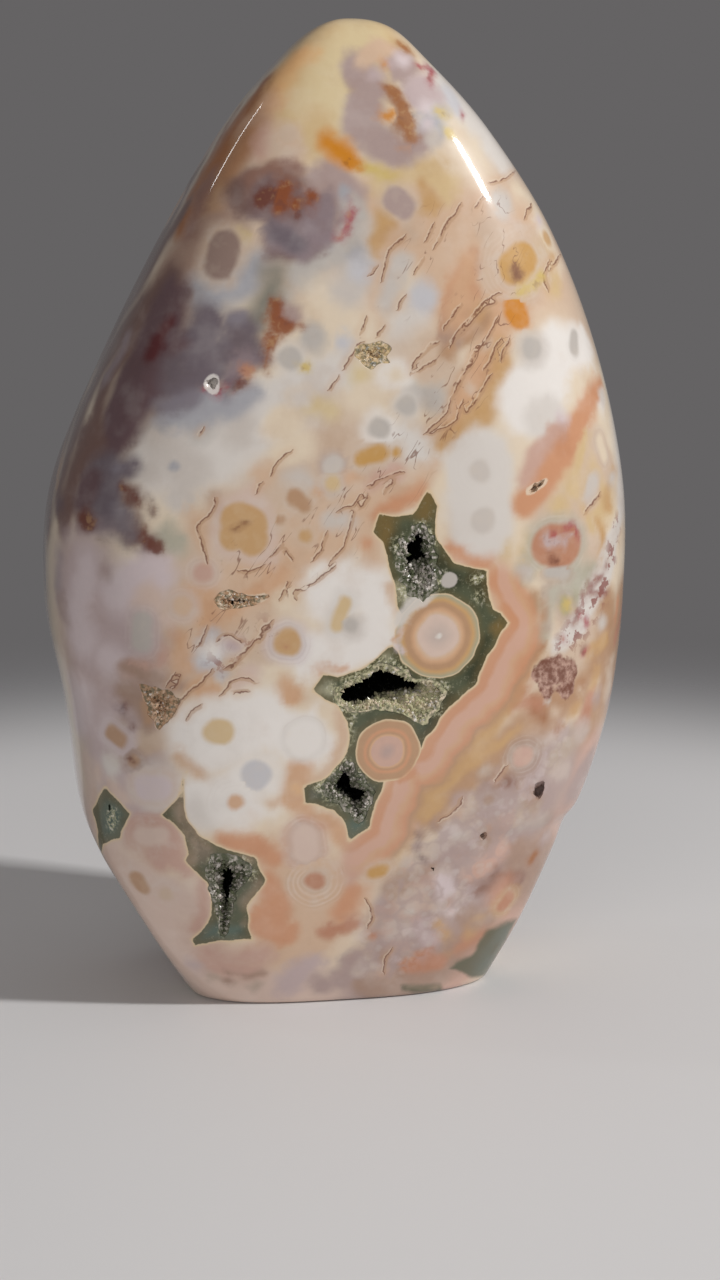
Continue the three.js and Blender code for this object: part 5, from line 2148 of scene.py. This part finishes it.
druse_finish = druse()
for name, crust in crusts.items():
    crust.data.materials.append(druse_finish)
    for field, colour in zip(("pale_tint", "ground_tint"), DRUSE_TINTS[name]):
        set_colour(crust, field, np.tile(linear(colour), (len(crust.data.vertices), 1)))

# %% [markdown]
# ## Floor and light
#
# The stone stands on a plain pale floor. Its colour fades to grey with distance, a painted fall-off of light:
# a pale pool round the stone and a dimmer floor further off. A polished stone shows its lights as much as its
# colours: the two streaks on the shoulders are reflections of tall narrow lights. Where such a light has to
# hang follows from the mirror law, so each is placed along the reflected line of sight.


# %% The floor
FLOOR_RADIUS = 900
FLOOR_SIDES = 96
FLOOR_DROP = 0.03
FLOOR_PALE = (0.68, 0.665, 0.66, 1)
FLOOR_PAINTED_DIM = (0.30, 0.295, 0.30, 1)


def painted_light_pool_floor():
    look = Look("floor")
    radius = look.node("ShaderNodeVectorMath", {"operation": "LENGTH"}, {0: look.place()}, "Value")
    clear = look.node("ShaderNodeBsdfTransparent", {}, {})
    # Painted light: a pale pool round the stone that dims to grey further off.
    colour = look.mix(look.step(radius, 0.10, 0.20), FLOOR_PALE, FLOOR_PAINTED_DIM)
    paint = look.node("ShaderNodeBsdfPrincipled", {}, {"Base Color": colour, "Roughness": 0.6})
    blend = look.node("ShaderNodeMixShader", {}, {0: look.step(radius, 0.12, 0.22), 1: paint, 2: clear})
    look.end(blend)
    return look.material


turns = np.linspace(0, 2 * math.pi, FLOOR_SIDES, endpoint=False)
rim_points = np.column_stack([np.cos(turns), np.sin(turns), np.zeros(FLOOR_SIDES)]) * FLOOR_RADIUS
floor_points = np.vstack([rim_points, [0, 0, 0]]) - [0, 0, FLOOR_DROP]
floor = add_mesh("floor", floor_points, end_fan(0, FLOOR_SIDES, FLOOR_SIDES, facing_up=True))
floor.data.materials.append(painted_light_pool_floor())


# %% Lights
STONE_MIDDLE = np.array([0.0, 0.0, 60.0])
ROOM_LIGHT = (0.130, 0.125, 0.127, 1)


def add_light(name, place, aim, width, height, power, mirrored=True):
    """A rectangular light at a place in millimetres that faces a point."""
    data = bpy.data.lights.new(name, "AREA")
    data.shape = "RECTANGLE"
    data.size = width * MM
    data.size_y = height * MM
    data.energy = power
    light = bpy.data.objects.new(name, data)
    bpy.context.scene.collection.objects.link(light)
    light.location = Vector(place) * MM
    direction = Vector(place) - Vector(aim)
    light.rotation_mode = "QUATERNION"
    light.rotation_quaternion = direction.to_track_quat("Z", "Y")
    light.visible_glossy = mirrored


def mirror_line(x, y):
    """The place on the stone behind a pixel, and the direction in which the polish mirrors the lens there."""
    place, normal = photo_point(x, y)
    sight = photo_direction(x, y)
    return place, sight - 2 * (sight @ normal) * normal


def add_streak(name, pixel, distance, width, height, power):
    """A light whose reflection shows at a pixel."""
    place, direction = mirror_line(*pixel)
    add_light(name, place + direction * distance, place, width, height, power)


# Places, distances and sizes are in millimetres, pixels in the photograph's own, and powers in watts.
add_streak("key_light", (470, 166), 900, 62, 120, 7.5)
add_streak("left_streak", (241, 134), 700, 24, 190, 0.14)
add_light("front_fill", (-250, -620, 220), STONE_MIDDLE, 500, 400, 1.35, mirrored=False)
add_light("top_fill", (0, 100, 700), STONE_MIDDLE, 500, 500, 0.45, mirrored=False)

world = bpy.data.worlds.new("studio")
world.use_nodes = True
world.node_tree.nodes["Background"].inputs["Color"].default_value = ROOM_LIGHT
bpy.context.scene.world = world
bpy.context.scene.view_settings.view_transform = "Standard"
bpy.context.scene.view_settings.look = "None"
